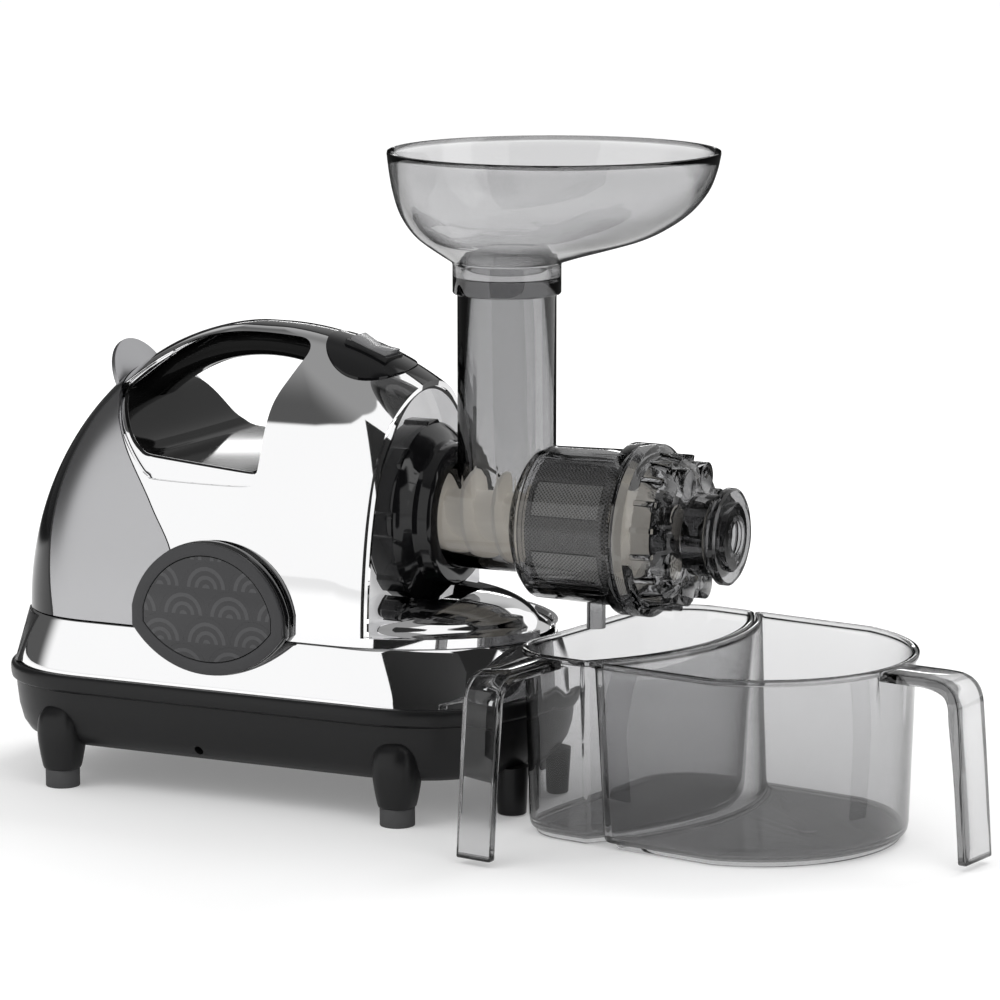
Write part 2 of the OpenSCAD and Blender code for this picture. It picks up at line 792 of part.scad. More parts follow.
module gearbox_screws() {
    color([0.7, 0.7, 0.72]) in_frame() gearbox_screw_places() union() {
        rod_x(1.45, gearbox_back - 0.05, gearbox_front - 6, 0);
        rod_x(3, gearbox_back - 2.2, gearbox_back - 0.05, 0);
    }
}

module gearbox_bushes() {
    color([0.72, 0.55, 0.25]) in_frame() {
        for (x = [[gearbox_back + 0.2, gearbox_back + 3.4], [gearbox_front - 3.4, gearbox_front - 0.2]]) difference() {
            rod_x(shaft_r + 2.5, x[0], x[1]);
            rod_x(shaft_r + running, x[0] - 1, x[1] + 1);
        }
        for (x = [[gearbox_back + 0.2, gearbox_back + 3.4], [gearbox_front - 2.4, gearbox_front - 0.2]]) difference() {
            rod_x(6.5, x[0], x[1], idler_z, idler_y);
            rod_x(4 + running, x[0] - 1, x[1] + 1, idler_z, idler_y);
        }
    }
}

module drum_seat() {
    color([0.07, 0.07, 0.075]) in_frame() difference() {
        union() {
            rod_x(seat_r, seat_x, seat_face);
            rod_x(output_pitch + 2, gearbox_front + 0.05, seat_x + 1);
        }
        rod_x(shaft_r + running, -100, 0);
    }
}

// ---- Electrics in the tray ----

module circuit_board() {
    color([0.1, 0.3, 0.15]) in_frame() union() {
        translate([-88, -32, tray_bottom + 8]) cube([60, 46, 1.6]);
        translate([-80, -26, tray_bottom + 9.5]) cube([16, 14, 12]);
        translate([-58, -24, tray_bottom + 9.5]) cube([10, 12, 9]);
        translate([-44, -4, tray_bottom + 9.5]) cube([9, 12, 7]);
        for (x = [-86, -32], y = [-29, 11]) translate([x, y, tray_bottom + shell_wall]) cylinder(r = 2, h = 6);
    }
}

module run_capacitor() {
    color([0.75, 0.75, 0.78]) in_frame() union() {
        rod_x(10, -178, -136, tray_bottom + 14, 28);
        rod_x(6, -136.1, -131, tray_bottom + 14, 28);
        translate([-174, 22, tray_bottom + shell_wall]) cube([34, 12, 3]);
    }
}

gland_y = 30;
gland_z = 41;
module cord_gland() {
    color([0.03, 0.03, 0.03]) in_frame() difference() {
        union() {
            rod_x(7, -tray_rear + 3.4, -tray_rear + 22, gland_z, gland_y);
            rod_x(9.5, -tray_rear + 0.6, -tray_rear + 3.5, gland_z, gland_y);
        }
        rod_x(3.6, -tray_rear - 10, -tray_rear + 30, gland_z, gland_y);
    }
}

module tray_screws() {
    color([0.65, 0.65, 0.68]) in_frame() {
        for (x = [-150, -60], side = [-1, 1]) translate([x, side * 44, tray_bottom - 0.05]) union() {
            translate([0, 0, -2.4]) cylinder(r = 3.6, h = 2.4);
            cylinder(r = 1.8, h = tray_top - tray_bottom);
        }
    }
}

// ---- Rear cover ----

// Half the band's width against its height.
band_edge = [[band_foot_w, seam_z - 4], [band_foot_w - 1, seam_z + 8], [band_foot_w - 4, seam_z + 28],
    [band_foot_w - 7, seam_z + 49], [band_foot_w - 13, seam_z + 69], [band_foot_w - 21, seam_z + 90],
    [band_foot_w - 34, seam_z + 112], [band_foot_w - 46, seam_z + 130], [spine_half_w, seam_z + 142],
    [spine_half_w, dome_top + 20]];

// Rear view of the black band: wide at the foot, as narrow as the spine at the top.
module band_region(grow) {
    rotate([90, 0, 90]) translate([0, 0, -400]) linear_extrude(400)
        polygon(concat([for (p = band_edge) [-p[0] - grow, p[1]]],
            [for (i = [1 : len(band_edge)]) [band_edge[len(band_edge) - i][0] + grow, band_edge[len(band_edge) - i][1]]]));
}

module cover_space() {
    difference() {
        across(120) cover_side(-0.25);
        translate([-500, -200, -1]) cube([1000, 400, seam_z + 1.6]);
    }
}

module rear_cover() {
    color([0.62, 0.63, 0.65]) in_frame() difference() {
        intersection() {
            dome_shell();
            cover_space();
        }
        band_region(0.05);
    }
}

module cover_band() {
    color([0.03, 0.03, 0.035]) in_frame() difference() {
        union() {
            difference() {
                intersection() {
                    difference() {
                        dome(-0.4);
                        translate([0, 0, -EPS]) dome(shell_wall);
                    }
                    cover_space();
                    band_region(0);
                }
                translate([hinge_x - 12, -13, seam_z - 10]) cube([24, 26, 14.5]);
            }
            for (side = [-1, 1]) translate([hinge_x, side * 19.7, hinge_z]) rotate([90, 0, 0]) hull() {
                cylinder(r = hinge_r, h = 12.6, center = true, $fn = 32);
                translate([-0.5, 3.5, 0]) cube([3, 4, 12.6], center = true);
            }
        }
        translate([hinge_x, 0, hinge_z]) rotate([90, 0, 0]) cylinder(r = 1.6 + running, h = 90, center = true, $fn = 48);
    }
}

tab_r = 26;
module cover_tab() {
    color([0.6, 0.61, 0.63]) in_frame() difference() {
        translate([-211, 0, ridge_z(-211) - 9]) rotate([0, -27, 0]) rotate([0, 90, 0])
            cylinder(r = tab_r, h = 2.6, center = true);
        dome(-0.5);
    }
}

module cover_hinge() {
    color([0.08, 0.08, 0.08]) in_frame() difference() {
        union() {
            translate([hinge_x, 0, hinge_z]) rotate([90, 0, 0]) cylinder(r = hinge_r, h = 25.6, center = true);
            translate([hinge_x - 0.9, -12.8, tray_top + 3]) cube([4, 25.6, hinge_z - tray_top - 4]);
        }
        translate([hinge_x, 0, hinge_z]) rotate([90, 0, 0]) cylinder(r = 1.6 + running, h = 60, center = true);
    }
}

module hinge_pin() {
    color([0.75, 0.75, 0.78]) in_frame() translate([hinge_x, 0, hinge_z]) rotate([90, 0, 0])
        cylinder(r = 1.6, h = 2 * hinge_half, center = true);
}

// ---- Lock ring and drum ----

module lock_ring() {
    color([0.03, 0.03, 0.035]) in_frame() difference() {
        union() {
            about_x() polygon([[seat_r + running, -56.5], [lock_r - 2.4, -56.5], [lock_r - 1, -55], [lock_r - 1, -42],
                [lock_r - 5, -38], [37.5, -35], [36.5, -32], [36.5, lock_front - 1.6], [35, lock_front], [lip_bore, lock_front],
                [lip_bore, -38.6], [37, -40.6], [37, seat_face + 0.3], [seat_r + running, seat_face + 0.3]]);
            for (a = [0 : 45 : 315]) translate([0, 0, drum_z]) rotate([a, 0, 0])
                translate([-55.5, 0, lock_r - 6]) rotate([0, 90, 0]) cylinder(r = 8, h = 14);
        }
        rod_x(lock_r, -80, seat_face - 20);
        about_x() polygon([[lock_r + 0.6, -70], [lock_r + 20, -70], [lock_r + 20, -20], [lock_r + 0.6, -20]]);
        rod_x(seat_r + running, -60, seat_face + 0.3);
        rod_x(37, -60, -40.6);
        rod_x(lip_bore, -60, -10);
    }
}

module drum() {
    color([0.45, 0.46, 0.48, 0.5]) in_frame() difference() {
        union() {
            about_x() polygon([[0, seat_face + 0.35], [neck_flange_r, seat_face + 0.35], [neck_flange_r, -41],
                [neck_r, -39.4], [neck_r, 14], [drum_r - 3, 19], [drum_r, drum_shoulder], [drum_r + 1, 68],
                [drum_flange_r, 69.5], [drum_flange_r, drum_end - 0.05], [0, drum_end - 0.05]]);
            translate([0, 0, drum_z]) cylinder(r = tube_r, h = tube_top - drum_z);
            translate([spout_x, 0, container_h + 1.4]) cylinder(r = spout_r, h = drum_z - container_h - 20);
        }
        about_x() polygon([[0, seat_face + 2.6], [auger_r + 1.4, seat_face + 2.6], [auger_r + 1.4, 15.5],
            [drum_r - drum_wall, drum_shoulder], [drum_r - drum_wall, drum_end + 1], [0, drum_end + 1]]);
        translate([0, 0, drum_z]) cylinder(r = tube_r - tube_wall, h = 300);
        translate([spout_x, 0, 20]) cylinder(r = spout_r - 1.6, h = drum_z - 20);
        rod_x(11.5, -80, 0);
    }
}

module strainer_frame() {
    color([0.2, 0.2, 0.21]) in_frame() difference() {
        union() {
            rod_x(strainer_r, drum_shoulder + 1, drum_end - 2);
            for (x = [drum_shoulder + 1, drum_end - 4.5]) rod_x(drum_r - drum_wall - 0.15, x, x + 2.5);
        }
        rod_x(strainer_r - strainer_wall, 0, 100);
        for (a = [0 : 60 : 300]) translate([0, 0, drum_z]) rotate([a, 0, 0])
            translate([drum_shoulder + 7, -9, 0]) cube([drum_end - drum_shoulder - 16, 18, 60]);
    }
}

module strainer_mesh() {
    color([0.75, 0.76, 0.78]) in_frame() difference() {
        rod_x(strainer_r - strainer_wall - 0.05, drum_shoulder + 4, drum_end - 5);
        rod_x(strainer_r - strainer_wall - 0.6, 0, 100);
    }
}

module drum_gasket() {
    color([0.25, 0.25, 0.26]) in_frame() difference() {
        rod_x(auger_r + 1.2, seat_face + 2.7, seat_face + 5);
        rod_x(9.4, -80, 0);
    }
}

// Ribbon of a screw thread: wedge-shaped steps along a helix, each hulled with the next.
module flight(r_core, r_out, x1, x2, turns, steps) {
    for (i = [0 : steps - 1]) hull() {
        flight_step(r_core, r_out, x1 + (x2 - x1) * i / steps, 360 * turns * i / steps);
        flight_step(r_core, r_out, x1 + (x2 - x1) * (i + 1) / steps, 360 * turns * (i + 1) / steps);
    }
}

module flight_step(r_core, r_out, x, a) {
    translate([x, 0, drum_z]) rotate([a, 0, 0]) rotate([0, 90, 0]) linear_extrude(EPS)
        polygon([[r_core - 1, -1.6], [r_out, -1], [r_out, 1], [r_core - 1, 1.6]]);
}

auger_back = seat_face + 5.2;
auger_front = drum_end + 12;
module auger() {
    color([0.82, 0.8, 0.75]) in_frame() difference() {
        union() {
            rod_x(auger_r, auger_back, auger_back + 4);
            rod_x(13, auger_back, drum_shoulder);
            translate([drum_shoulder, 0, drum_z]) rotate([0, 90, 0])
                cylinder(r1 = 14, r2 = 22, h = drum_end - 6 - drum_shoulder, $fn = 40);
            translate([drum_end - 6, 0, drum_z]) rotate([0, 90, 0]) cylinder(r1 = 22, r2 = 12, h = 10, $fn = 40);
            rod_x(9, drum_end, auger_front);
            flight(12, auger_r, auger_back + 6, 17, 3, 54);
            flight(14, screw_r - 1.6, drum_shoulder + 3, drum_end - 6, 3, 54);
        }
        rod_x(8.6, -80, auger_back + 18);
        rod_x(3.9, drum_end, 150);
    }
}

module auger_socket() {
    color([0.7, 0.7, 0.73]) in_frame() difference() {
        rod_x(8.5, auger_back - 2, auger_back + 18);
        translate([-80, 0, drum_z]) rotate([0, 90, 0]) cylinder(r = 6.1, h = 80 + seat_face + 18, $fn = 6);
    }
}

module auger_tip() {
    color([0.75, 0.75, 0.78]) in_frame() rod_x(3.8, drum_end + 2, auger_front + 7);
}

module end_cap() {
    color([0.4, 0.41, 0.43, 0.5]) in_frame() difference() {
        union() {
            about_x() polygon([[0, drum_end + 0.3], [drum_flange_r, drum_end + 0.3], [drum_flange_r, 83],
                [40.5, 85], [38.6, 86], [36.6, 97], [33, 103], [29, cap_face], [0, cap_face]]);
            rod_x(nozzle_r + 3.2, cap_face - 8, nozzle_back - 3);
            for (a = [0 : 20 : 340]) translate([0, 0, drum_z]) rotate([a, 0, 0])
                translate([85.5, -1.3, 30]) cube([11.5, 2.6, 9.6]);
            for (a = [0 : 45 : 315]) translate([0, 0, drum_z]) rotate([a + 22.5, 0, 0])
                translate([95, 0, 29.2]) rotate([0, 90, 0]) cylinder(r = 7.6, h = 10.4);
        }
        about_x() polygon([[0, drum_end - 1], [36, drum_end - 1], [36, 84], [34, 94], [24, 99.6],
            [nozzle_r + running, 99.7], [nozzle_r + running, 140], [0, 140]]);
    }
}

module pulp_nozzle() {
    color([0.35, 0.36, 0.38, 0.55]) in_frame() difference() {
        union() {
            rod_x(nozzle_r, 98, nozzle_back + 0.5);
            about_x() polygon([[0, nozzle_back], [nozzle_flange_r - 1, nozzle_back], [nozzle_flange_r, nozzle_back + 1],
                [nozzle_flange_r, nozzle_back + 4], [nozzle_flange_r - 1.4, nozzle_back + 5],
                [17.5, nozzle_back + 5], [17, nozzle_face], [0, nozzle_face]]);
            for (a = [0 : 120 : 240]) translate([0, 0, drum_z]) rotate([a, 0, 0])
                translate([auger_front + 1, -1.5, 0]) cube([6, 3, nozzle_r - 2]);
            rod_x(7, auger_front + 1, auger_front + 7);
            rod_x(nozzle_r, auger_front + 1, 98.2);
        }
        difference() {
            rod_x(nozzle_r - 2.6, 80, nozzle_back - 3);
            union() {
                rod_x(7, auger_front + 1, auger_front + 7);
                for (a = [0 : 120 : 240]) translate([0, 0, drum_z]) rotate([a, 0, 0])
                    translate([auger_front + 1, -1.5, 0]) cube([6, 3, 30]);
            }
        }
        rod_x(11, nozzle_back - 4, nozzle_face - 2);
        rod_x(8.5, nozzle_back - 4, nozzle_face + 1);
        rod_x(3.8 + running, 80, auger_front + 8);
        rod_x(1.2, nozzle_face - 6, nozzle_face + 5, drum_z - 13, 0);
    }
}

// ---- Hopper ----

// One level of the hopper's bowl: height below the rim, share of the rim's radius and of its offset.
bowl_levels = [[57, 0.335, 0], [53.5, 0.43, 0.12], [49, 0.56, 0.32], [44, 0.69, 0.53], [38, 0.79, 0.68],
    [30, 0.88, 0.82], [20, 0.945, 0.93], [10, 0.98, 0.98], [0, 1, 1]];

module bowl(inset) {
    for (i = [0 : len(bowl_levels) - 2]) hull() {
        bowl_ring(bowl_levels[i], inset);
        bowl_ring(bowl_levels[i + 1], inset);
    }
}

module bowl_ring(level, inset) {
    translate([hopper_offset * level[2], 0, hopper_top - EPS - level[0]])
        cylinder(r = hopper_r * level[1] - inset, h = EPS, $fn = 48);
}

module hopper() {
    color([0.5, 0.51, 0.53, 0.45]) in_frame() difference() {
        union() {
            bowl(0);
            translate([0, 0, collar_bottom]) cylinder(r = collar_r, h = collar_h + 3, $fn = 48);
        }
        translate([0, 0, hopper_wall]) bowl(hopper_wall);
        translate([0, 0, hopper_top - 2]) bowl_mouth();
        translate([0, 0, collar_bottom - 1]) cylinder(r = tube_r + GAP, h = tube_top - collar_bottom + 1.3, $fn = 48);
        translate([0, 0, collar_bottom]) cylinder(r = spigot_r - 1.8, h = 60, $fn = 48);
    }
}

module bowl_mouth() {
    translate([hopper_offset, 0, 0]) cylinder(r = hopper_r - hopper_wall, h = 5, $fn = 48);
}

// ---- Containers ----

module pair_frame() {
    translate([pair_x, pair_y, 0]) rotate([0, 0, container_turn]) children();
}

// How far the walls have leant inwards at height z.
function lean(z) = draft * (1 - z / container_h);
function arc(x, y, r, from, to, steps) =
    [for (i = [0 : steps]) let (a = from + (to - from) * i / steps) [x + r * cos(a), y + r * sin(a)]];
function juice_plan(inset) = concat(
    arc(juice_left + juice_corner, container_half_w - juice_corner, juice_corner - inset, 90, 180, 12),
    arc(juice_left + juice_corner, juice_corner - container_half_w, juice_corner - inset, 180, 270, 12),
    [[nest_u, inset - container_half_w], [nest_u, container_half_w - inset]]);
function pulp_plan(inset) = concat(
    arc(pulp_u, 0, pulp_r - inset, -75, 75, 40),
    [[nest_u - 38, container_half_w - inset], [nest_u - 38, inset - container_half_w]]);

module leaning(points_low, points_high, z1, z2) {
    hull() {
        slice(points_low, z1);
        slice(points_high, z2 - EPS);
    }
}

module juice_solid(z1, z2, inset) {
    intersection() {
        leaning(juice_plan(inset + lean(z1)), juice_plan(inset + lean(z2)), z1, z2);
        translate([nest_u - nest_r, 0, z1])
            cylinder(r1 = nest_r - inset - lean(z1), r2 = nest_r - inset - lean(z2), h = z2 - z1, $fn = 128);
    }
}

module pulp_solid(z1, z2, inset) {
    difference() {
        leaning(pulp_plan(inset + lean(z1)), pulp_plan(inset + lean(z2)), z1, z2);
        translate([nest_u - nest_r, 0, z1 - EPS])
            cylinder(r1 = nest_r + nest_gap + inset + lean(z1), r2 = nest_r + nest_gap + inset + lean(z2),
                h = z2 - z1 + 2 * EPS, $fn = 128);
    }
}

// Strap handle that leaves the rim along +X of its own frame and turns down to the worktop.
// length is its reach at the foot.
module strap_handle(length, width) {
    top = container_h - 1;
    knee = length - handle_lean;
    translate([0, width / 2, 0]) rotate([90, 0, 0]) linear_extrude(width)
        polygon([[-1.5, top - handle_t], [knee - 19, top - handle_t], [knee - 10, top - handle_t - 2.4],
            [knee - handle_t - 1.5, top - 12], [knee - handle_t - 0.5, top - 22], [length - handle_t, 3],
            [length, 3], [knee + 0.7, top - 20], [knee - 0.6, top - 10], [knee - 4, top - 4],
            [knee - 10, top - 0.8], [knee - 18, top], [-1.5, top]]);
}

module juice_container() {
    color([0.55, 0.56, 0.58, 0.45]) in_frame() pair_frame() difference() {
        union() {
            juice_solid(3, container_h, 0);
            juice_solid(0, 3.02, 3);
            juice_solid(container_h - 3, container_h, -rim_lip);
            translate([juice_handle_u, 2 - container_half_w, 0]) rotate([0, 0, -90])
                strap_handle(juice_reach - container_half_w + 2, juice_handle_w);
        }
        juice_solid(4, container_h + 1, container_wall);
    }
}

module pulp_container() {
    color([0.55, 0.56, 0.58, 0.45]) in_frame() pair_frame() difference() {
        union() {
            pulp_solid(3, container_h, 0);
            pulp_solid(0, 3.02, 3);
            pulp_solid(container_h - 3, container_h, -rim_lip);
            translate([pulp_u + pulp_r - 2, 0, 0]) strap_handle(pulp_reach - pulp_u - pulp_r + 2, pulp_handle_w);
        }
        pulp_solid(4, container_h + 1, container_wall);
    }
}

base_tray();
foot_pads();
foot_screws();
skirt();
rear_guard();
housing_left();
housing_right();
spine_strip();
handle_grip();
hand_well();
front_cowl();
bulkhead();
badge_frames();
badge_plates();
switch_bezel();
switch_body();
power_rocker();
motor_can();
stator_core();
stator_windings();
motor_brackets();
motor_bearings();
motor_shaft();
rotor_core();
cooling_fan();
motor_pinion();
gearbox_housing();
gearbox_cover();
gearbox_bushes();
gearbox_screws();
idler_gear();
output_gear();
drive_shaft();
drum_seat();
circuit_board();
run_capacitor();
cord_gland();
tray_screws();
rear_cover();
cover_band();
cover_tab();
cover_hinge();
hinge_pin();
lock_ring();
drum();
strainer_frame();
strainer_mesh();
drum_gasket();
auger();
auger_socket();
auger_tip();
end_cap();
pulp_nozzle();
hopper();
juice_container();
pulp_container();
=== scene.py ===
"""Looks of the horizontal cold press juicer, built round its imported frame."""

import logging
import math
from collections.abc import Callable, Sequence
from dataclasses import dataclass, field
from enum import Enum

import bmesh
import bpy
from mathutils import Matrix, Vector


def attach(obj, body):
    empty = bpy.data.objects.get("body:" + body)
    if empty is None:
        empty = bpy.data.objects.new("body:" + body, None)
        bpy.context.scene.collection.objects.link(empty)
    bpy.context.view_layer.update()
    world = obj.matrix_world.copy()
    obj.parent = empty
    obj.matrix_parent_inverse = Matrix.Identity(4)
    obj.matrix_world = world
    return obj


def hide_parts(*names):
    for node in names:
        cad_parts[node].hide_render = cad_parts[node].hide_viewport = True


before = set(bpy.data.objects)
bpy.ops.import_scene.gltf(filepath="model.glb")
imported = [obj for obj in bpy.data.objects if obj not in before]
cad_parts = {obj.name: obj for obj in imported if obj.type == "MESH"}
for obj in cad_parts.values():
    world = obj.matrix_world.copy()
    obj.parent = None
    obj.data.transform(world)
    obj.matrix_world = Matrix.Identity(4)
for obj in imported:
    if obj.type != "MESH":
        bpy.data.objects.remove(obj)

log = logging.getLogger("juicer")

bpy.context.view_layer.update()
MM = 0.001
# Degrees in a radian, for shaders.
DEGREES = 57.29578
# From the machine's own frame, where the feeding tube stands on X = 0, Y = 0, to the row frame.
SHIFT = Vector((3.7451210662368624, 21.804164147481075, 0.0))
TO_ROW = Matrix.Scale(MM, 4) @ Matrix.Translation(SHIFT)
DRUM_Z = 147.2
SEAM_Z = 88.0
# Frames for a side view drawn as X and Z, for a view along the drum drawn as Y and Z, and for a plan.
SIDE = Matrix(((1, 0, 0, 0), (0, 0, -1, 0), (0, 1, 0, 0), (0, 0, 0, 1)))
END = Matrix(((0, 0, 1, 0), (1, 0, 0, 0), (0, 1, 0, 0), (0, 0, 0, 1)))
PLAN = Matrix.Identity(4)
# Beyond the whole machine, for cutting tools.
FAR = 400.0

Point = tuple[float, float]
Triple = tuple[float, float, float]
Solid = bmesh.types.BMesh
Piece = bpy.types.Object
Node = bpy.types.Node
Socket = bpy.types.NodeSocket


class Cut(Enum):
    """How one solid is combined with another."""

    AWAY = "DIFFERENCE"
    JOIN = "UNION"
    COMMON = "INTERSECT"


# ---------------------------------------------------------------- mesh tools


def power(value: float, exponent: float) -> float:
    """Raises a value to a power and keeps its sign."""
    return math.copysign(abs(value) ** exponent, value)


def turns(steps: int) -> list[float]:
    """Divides one turn, 0..1, into even steps."""
    return [i / steps for i in range(steps)]


def smooth_path(points: Sequence[Sequence[float]], steps: int, closed: bool = False) -> list[tuple[float, ...]]:
    """Runs a smooth curve through points.

    Args:
        points: The points, of any dimension.
        steps: Spans of curve between two points.
        closed: Whether the last point leads back to the first.

    Returns:
        The points of the curve.
    """
    n = len(points)
    out = []
    for i in range(n if closed else n - 1):
        near = [points[k % n if closed else min(max(k, 0), n - 1)] for k in range(i - 1, i + 3)]
        for t in turns(steps):
            out.append(tuple(
                0.5 * (2 * b + (c - a) * t + (2 * a - 5 * b + 4 * c - d) * t * t + (3 * b - a - 3 * c + d) * t ** 3)
                for a, b, c, d in zip(*near)))
    return out if closed else out + [tuple(points[-1])]


def close(bm: Solid) -> Solid:
    """Merges a mesh's doubles, fills its open rims and turns its faces outwards.

    Args:
        bm: The mesh.

    Returns:
        The same mesh.
    """
    bmesh.ops.remove_doubles(bm, verts=bm.verts, dist=0.0005)
    bmesh.ops.dissolve_degenerate(bm, edges=bm.edges, dist=0.0004)
    rims = [e for e in bm.edges if e.is_boundary]
    if rims:
        bmesh.ops.holes_fill(bm, edges=rims, sides=0)
    bmesh.ops.recalc_face_normals(bm, faces=bm.faces)
    return bm


def loft(rows: Sequence[Sequence[Vector]], ring: bool = False) -> Solid:
    """Stretches a grid over closed outlines.

    Args:
        rows: The outlines, all with the same number of points, in millimetres.
        ring: Whether the last outline leads back to the first. Otherwise both ends are closed flat.

    Returns:
        A closed mesh.
    """
    around = len(rows[0])
    rows = list(rows) + ([rows[0]] if ring else [])
    bm = bmesh.new()
    bmesh.ops.create_grid(bm, x_segments=around, y_segments=len(rows) - 1, size=1.0)
    for v in bm.verts:
        v.co = rows[round((v.co.y + 1) / 2 * (len(rows) - 1))][round((v.co.x + 1) / 2 * around) % around]
    return close(bm)


def stack(rows: Sequence[Triple], around: int, y: float = 0.0, bend: float = 1.0, ring: bool = False) -> Solid:
    """Lofts level rounds that lie over one another.

    Args:
        rows: The rounds, as height, radius and X of the middle.
        around: Spans round each.
        y: Y of their middle.
        bend: Exponent of the round, 1 for a circle and less for a squarer one.
        ring: Whether the last round leads back to the first.

    Returns:
        A closed mesh.
    """
    return loft([[Vector((x + r * power(math.cos(math.tau * t), bend), y + r * power(math.sin(math.tau * t), bend), z))
                  for t in turns(around)] for z, r, x in rows], ring)


def prism(outline: Sequence[Point], low: float, high: float, place: Matrix = PLAN) -> Solid:
    """Extrudes a flat outline.

    Args:
        outline: Points in the outline's own plane.
        low: Height of the start along the plane's normal.
        high: Height of the end.
        place: Matrix from the outline's frame to the machine frame.

    Returns:
        A closed mesh.
    """
    bm = bmesh.new()
    face = bm.faces.new([bm.verts.new((x, y, low)) for x, y in outline])
    top = bmesh.ops.extrude_face_region(bm, geom=[face], use_keep_orig=True)
    verts = [g for g in top["geom"] if isinstance(g, bmesh.types.BMVert)]
    bmesh.ops.translate(bm, verts=verts, vec=(0, 0, high - low))
    bmesh.ops.transform(bm, matrix=place, verts=bm.verts)
    bmesh.ops.recalc_face_normals(bm, faces=bm.faces)
    return bm


def through(outline: Sequence[Point]) -> Solid:
    """Extrudes a side view through the whole width of the machine."""
    return prism(outline, -120, 120, SIDE)


def slab(low: Sequence[float], high: Sequence[float]) -> Solid:
    """Builds a box between two corners, as a cutting tool."""
    outline = [(low[0], low[1]), (high[0], low[1]), (high[0], high[1]), (low[0], high[1])]
    return prism(outline, low[2], high[2])


def ellipse(x: float, y: float, a: float, b: float, steps: int = 72) -> list[Point]:
    """Gives an ellipse's outline."""
    return [(x + a * math.cos(math.tau * t), y + b * math.sin(math.tau * t)) for t in turns(steps)]


def turned(profile: Sequence[Point]) -> Solid:
    """Turns a profile about the drum's axis.

    Args:
        profile: Points as X and radius, closed, or open with both ends on the axis.

    Returns:
        A closed mesh.
    """
    bm = bmesh.new()
    verts = [bm.verts.new((x, 0, DRUM_Z + r)) for x, r in profile]
    edges = [bm.edges.new((a, b)) for a, b in zip(verts, verts[1:])]
    if profile[0][1] > 0:
        edges.append(bm.edges.new((verts[-1], verts[0])))
    bmesh.ops.spin(bm, geom=verts + edges, cent=(0, 0, DRUM_Z), axis=(1, 0, 0), dvec=(0, 0, 0),
                   angle=math.tau, steps=96, use_merge=True, use_duplicate=False)
    return close(bm)


def bore(radius: float, end: float) -> Solid:
    """Builds the round space about the drum's axis, up to a place along it, as a cutting tool."""
    return turned([(-80, 0), (-80, radius), (end, radius), (end, 0)])


def to_object(bm: Solid, name: str) -> Piece:
    """Makes an object, still in millimetres, of a bmesh.

    Args:
        bm: The mesh, which is used up.
        name: The object's name.

    Returns:
        The object.
    """
    mesh = bpy.data.meshes.new(name)
    bm.to_mesh(mesh)
    bm.free()
    return in_scene(name, mesh)


def in_scene(name: str, data: bpy.types.ID) -> Piece:
    """Puts a mesh, a lamp or a camera into the scene.

    Args:
        name: The object's name.
        data: What it holds.

    Returns:
        The object.
    """
    obj = bpy.data.objects.new(name, data)
    bpy.context.scene.collection.objects.link(obj)
    return obj


def to_bmesh(obj: Piece) -> Solid:
    """Makes a bmesh of an object.

    Args:
        obj: The object, which is used up.

    Returns:
        The mesh.
    """
    bm = bmesh.new()
    bm.from_mesh(obj.data)
    bpy.data.objects.remove(obj)
    return bm


def carve(obj: Piece, tools: Sequence[Solid], how: Cut = Cut.AWAY) -> None:
    """Combines an object with other solids, one after the other.

    Args:
        obj: The object, in millimetres.
        tools: The other solids, which are used up.
        how: The kind of combination.
    """
    helpers = [to_object(bm, f"tool_{i}") for i, bm in enumerate(tools)]
    for helper in helpers:
        mod = obj.modifiers.new("carve", "BOOLEAN")
        mod.operation = how.value
        mod.object = helper
        mod.solver = "MANIFOLD"
    bpy.context.view_layer.update()
    old, mesh = obj.data, bpy.data.meshes.new_from_object(obj.evaluated_get(bpy.context.evaluated_depsgraph_get()))
    obj.modifiers.clear()
    obj.data = mesh
    for used in [old] + [helper.data for helper in helpers]:
        bpy.data.meshes.remove(used)


def soften(obj: Piece, width: float, angle: float = 50.0, segments: int = 2) -> None:
    """Rounds an object's sharp edges.

    Args:
        obj: The object, in millimetres.
        width: Width of the rounding in millimetres.
        angle: Angle in degrees above which an edge is rounded.
        segments: Spans of the rounding.
    """
    bm = bmesh.new()
    bm.from_mesh(obj.data)
    bmesh.ops.remove_doubles(bm, verts=bm.verts, dist=0.01)
    bmesh.ops.dissolve_degenerate(bm, edges=bm.edges, dist=0.01)
    edges = [e for e in bm.edges if len(e.link_faces) == 2 and e.calc_face_angle(0) > math.radians(angle)]
    bmesh.ops.bevel(bm, geom=edges, offset=width, offset_type="OFFSET", segments=segments, profile=0.5,
                    affect="EDGES", material=-1, clamp_overlap=True, loop_slide=True)
    bm.to_mesh(obj.data)
    bm.free()


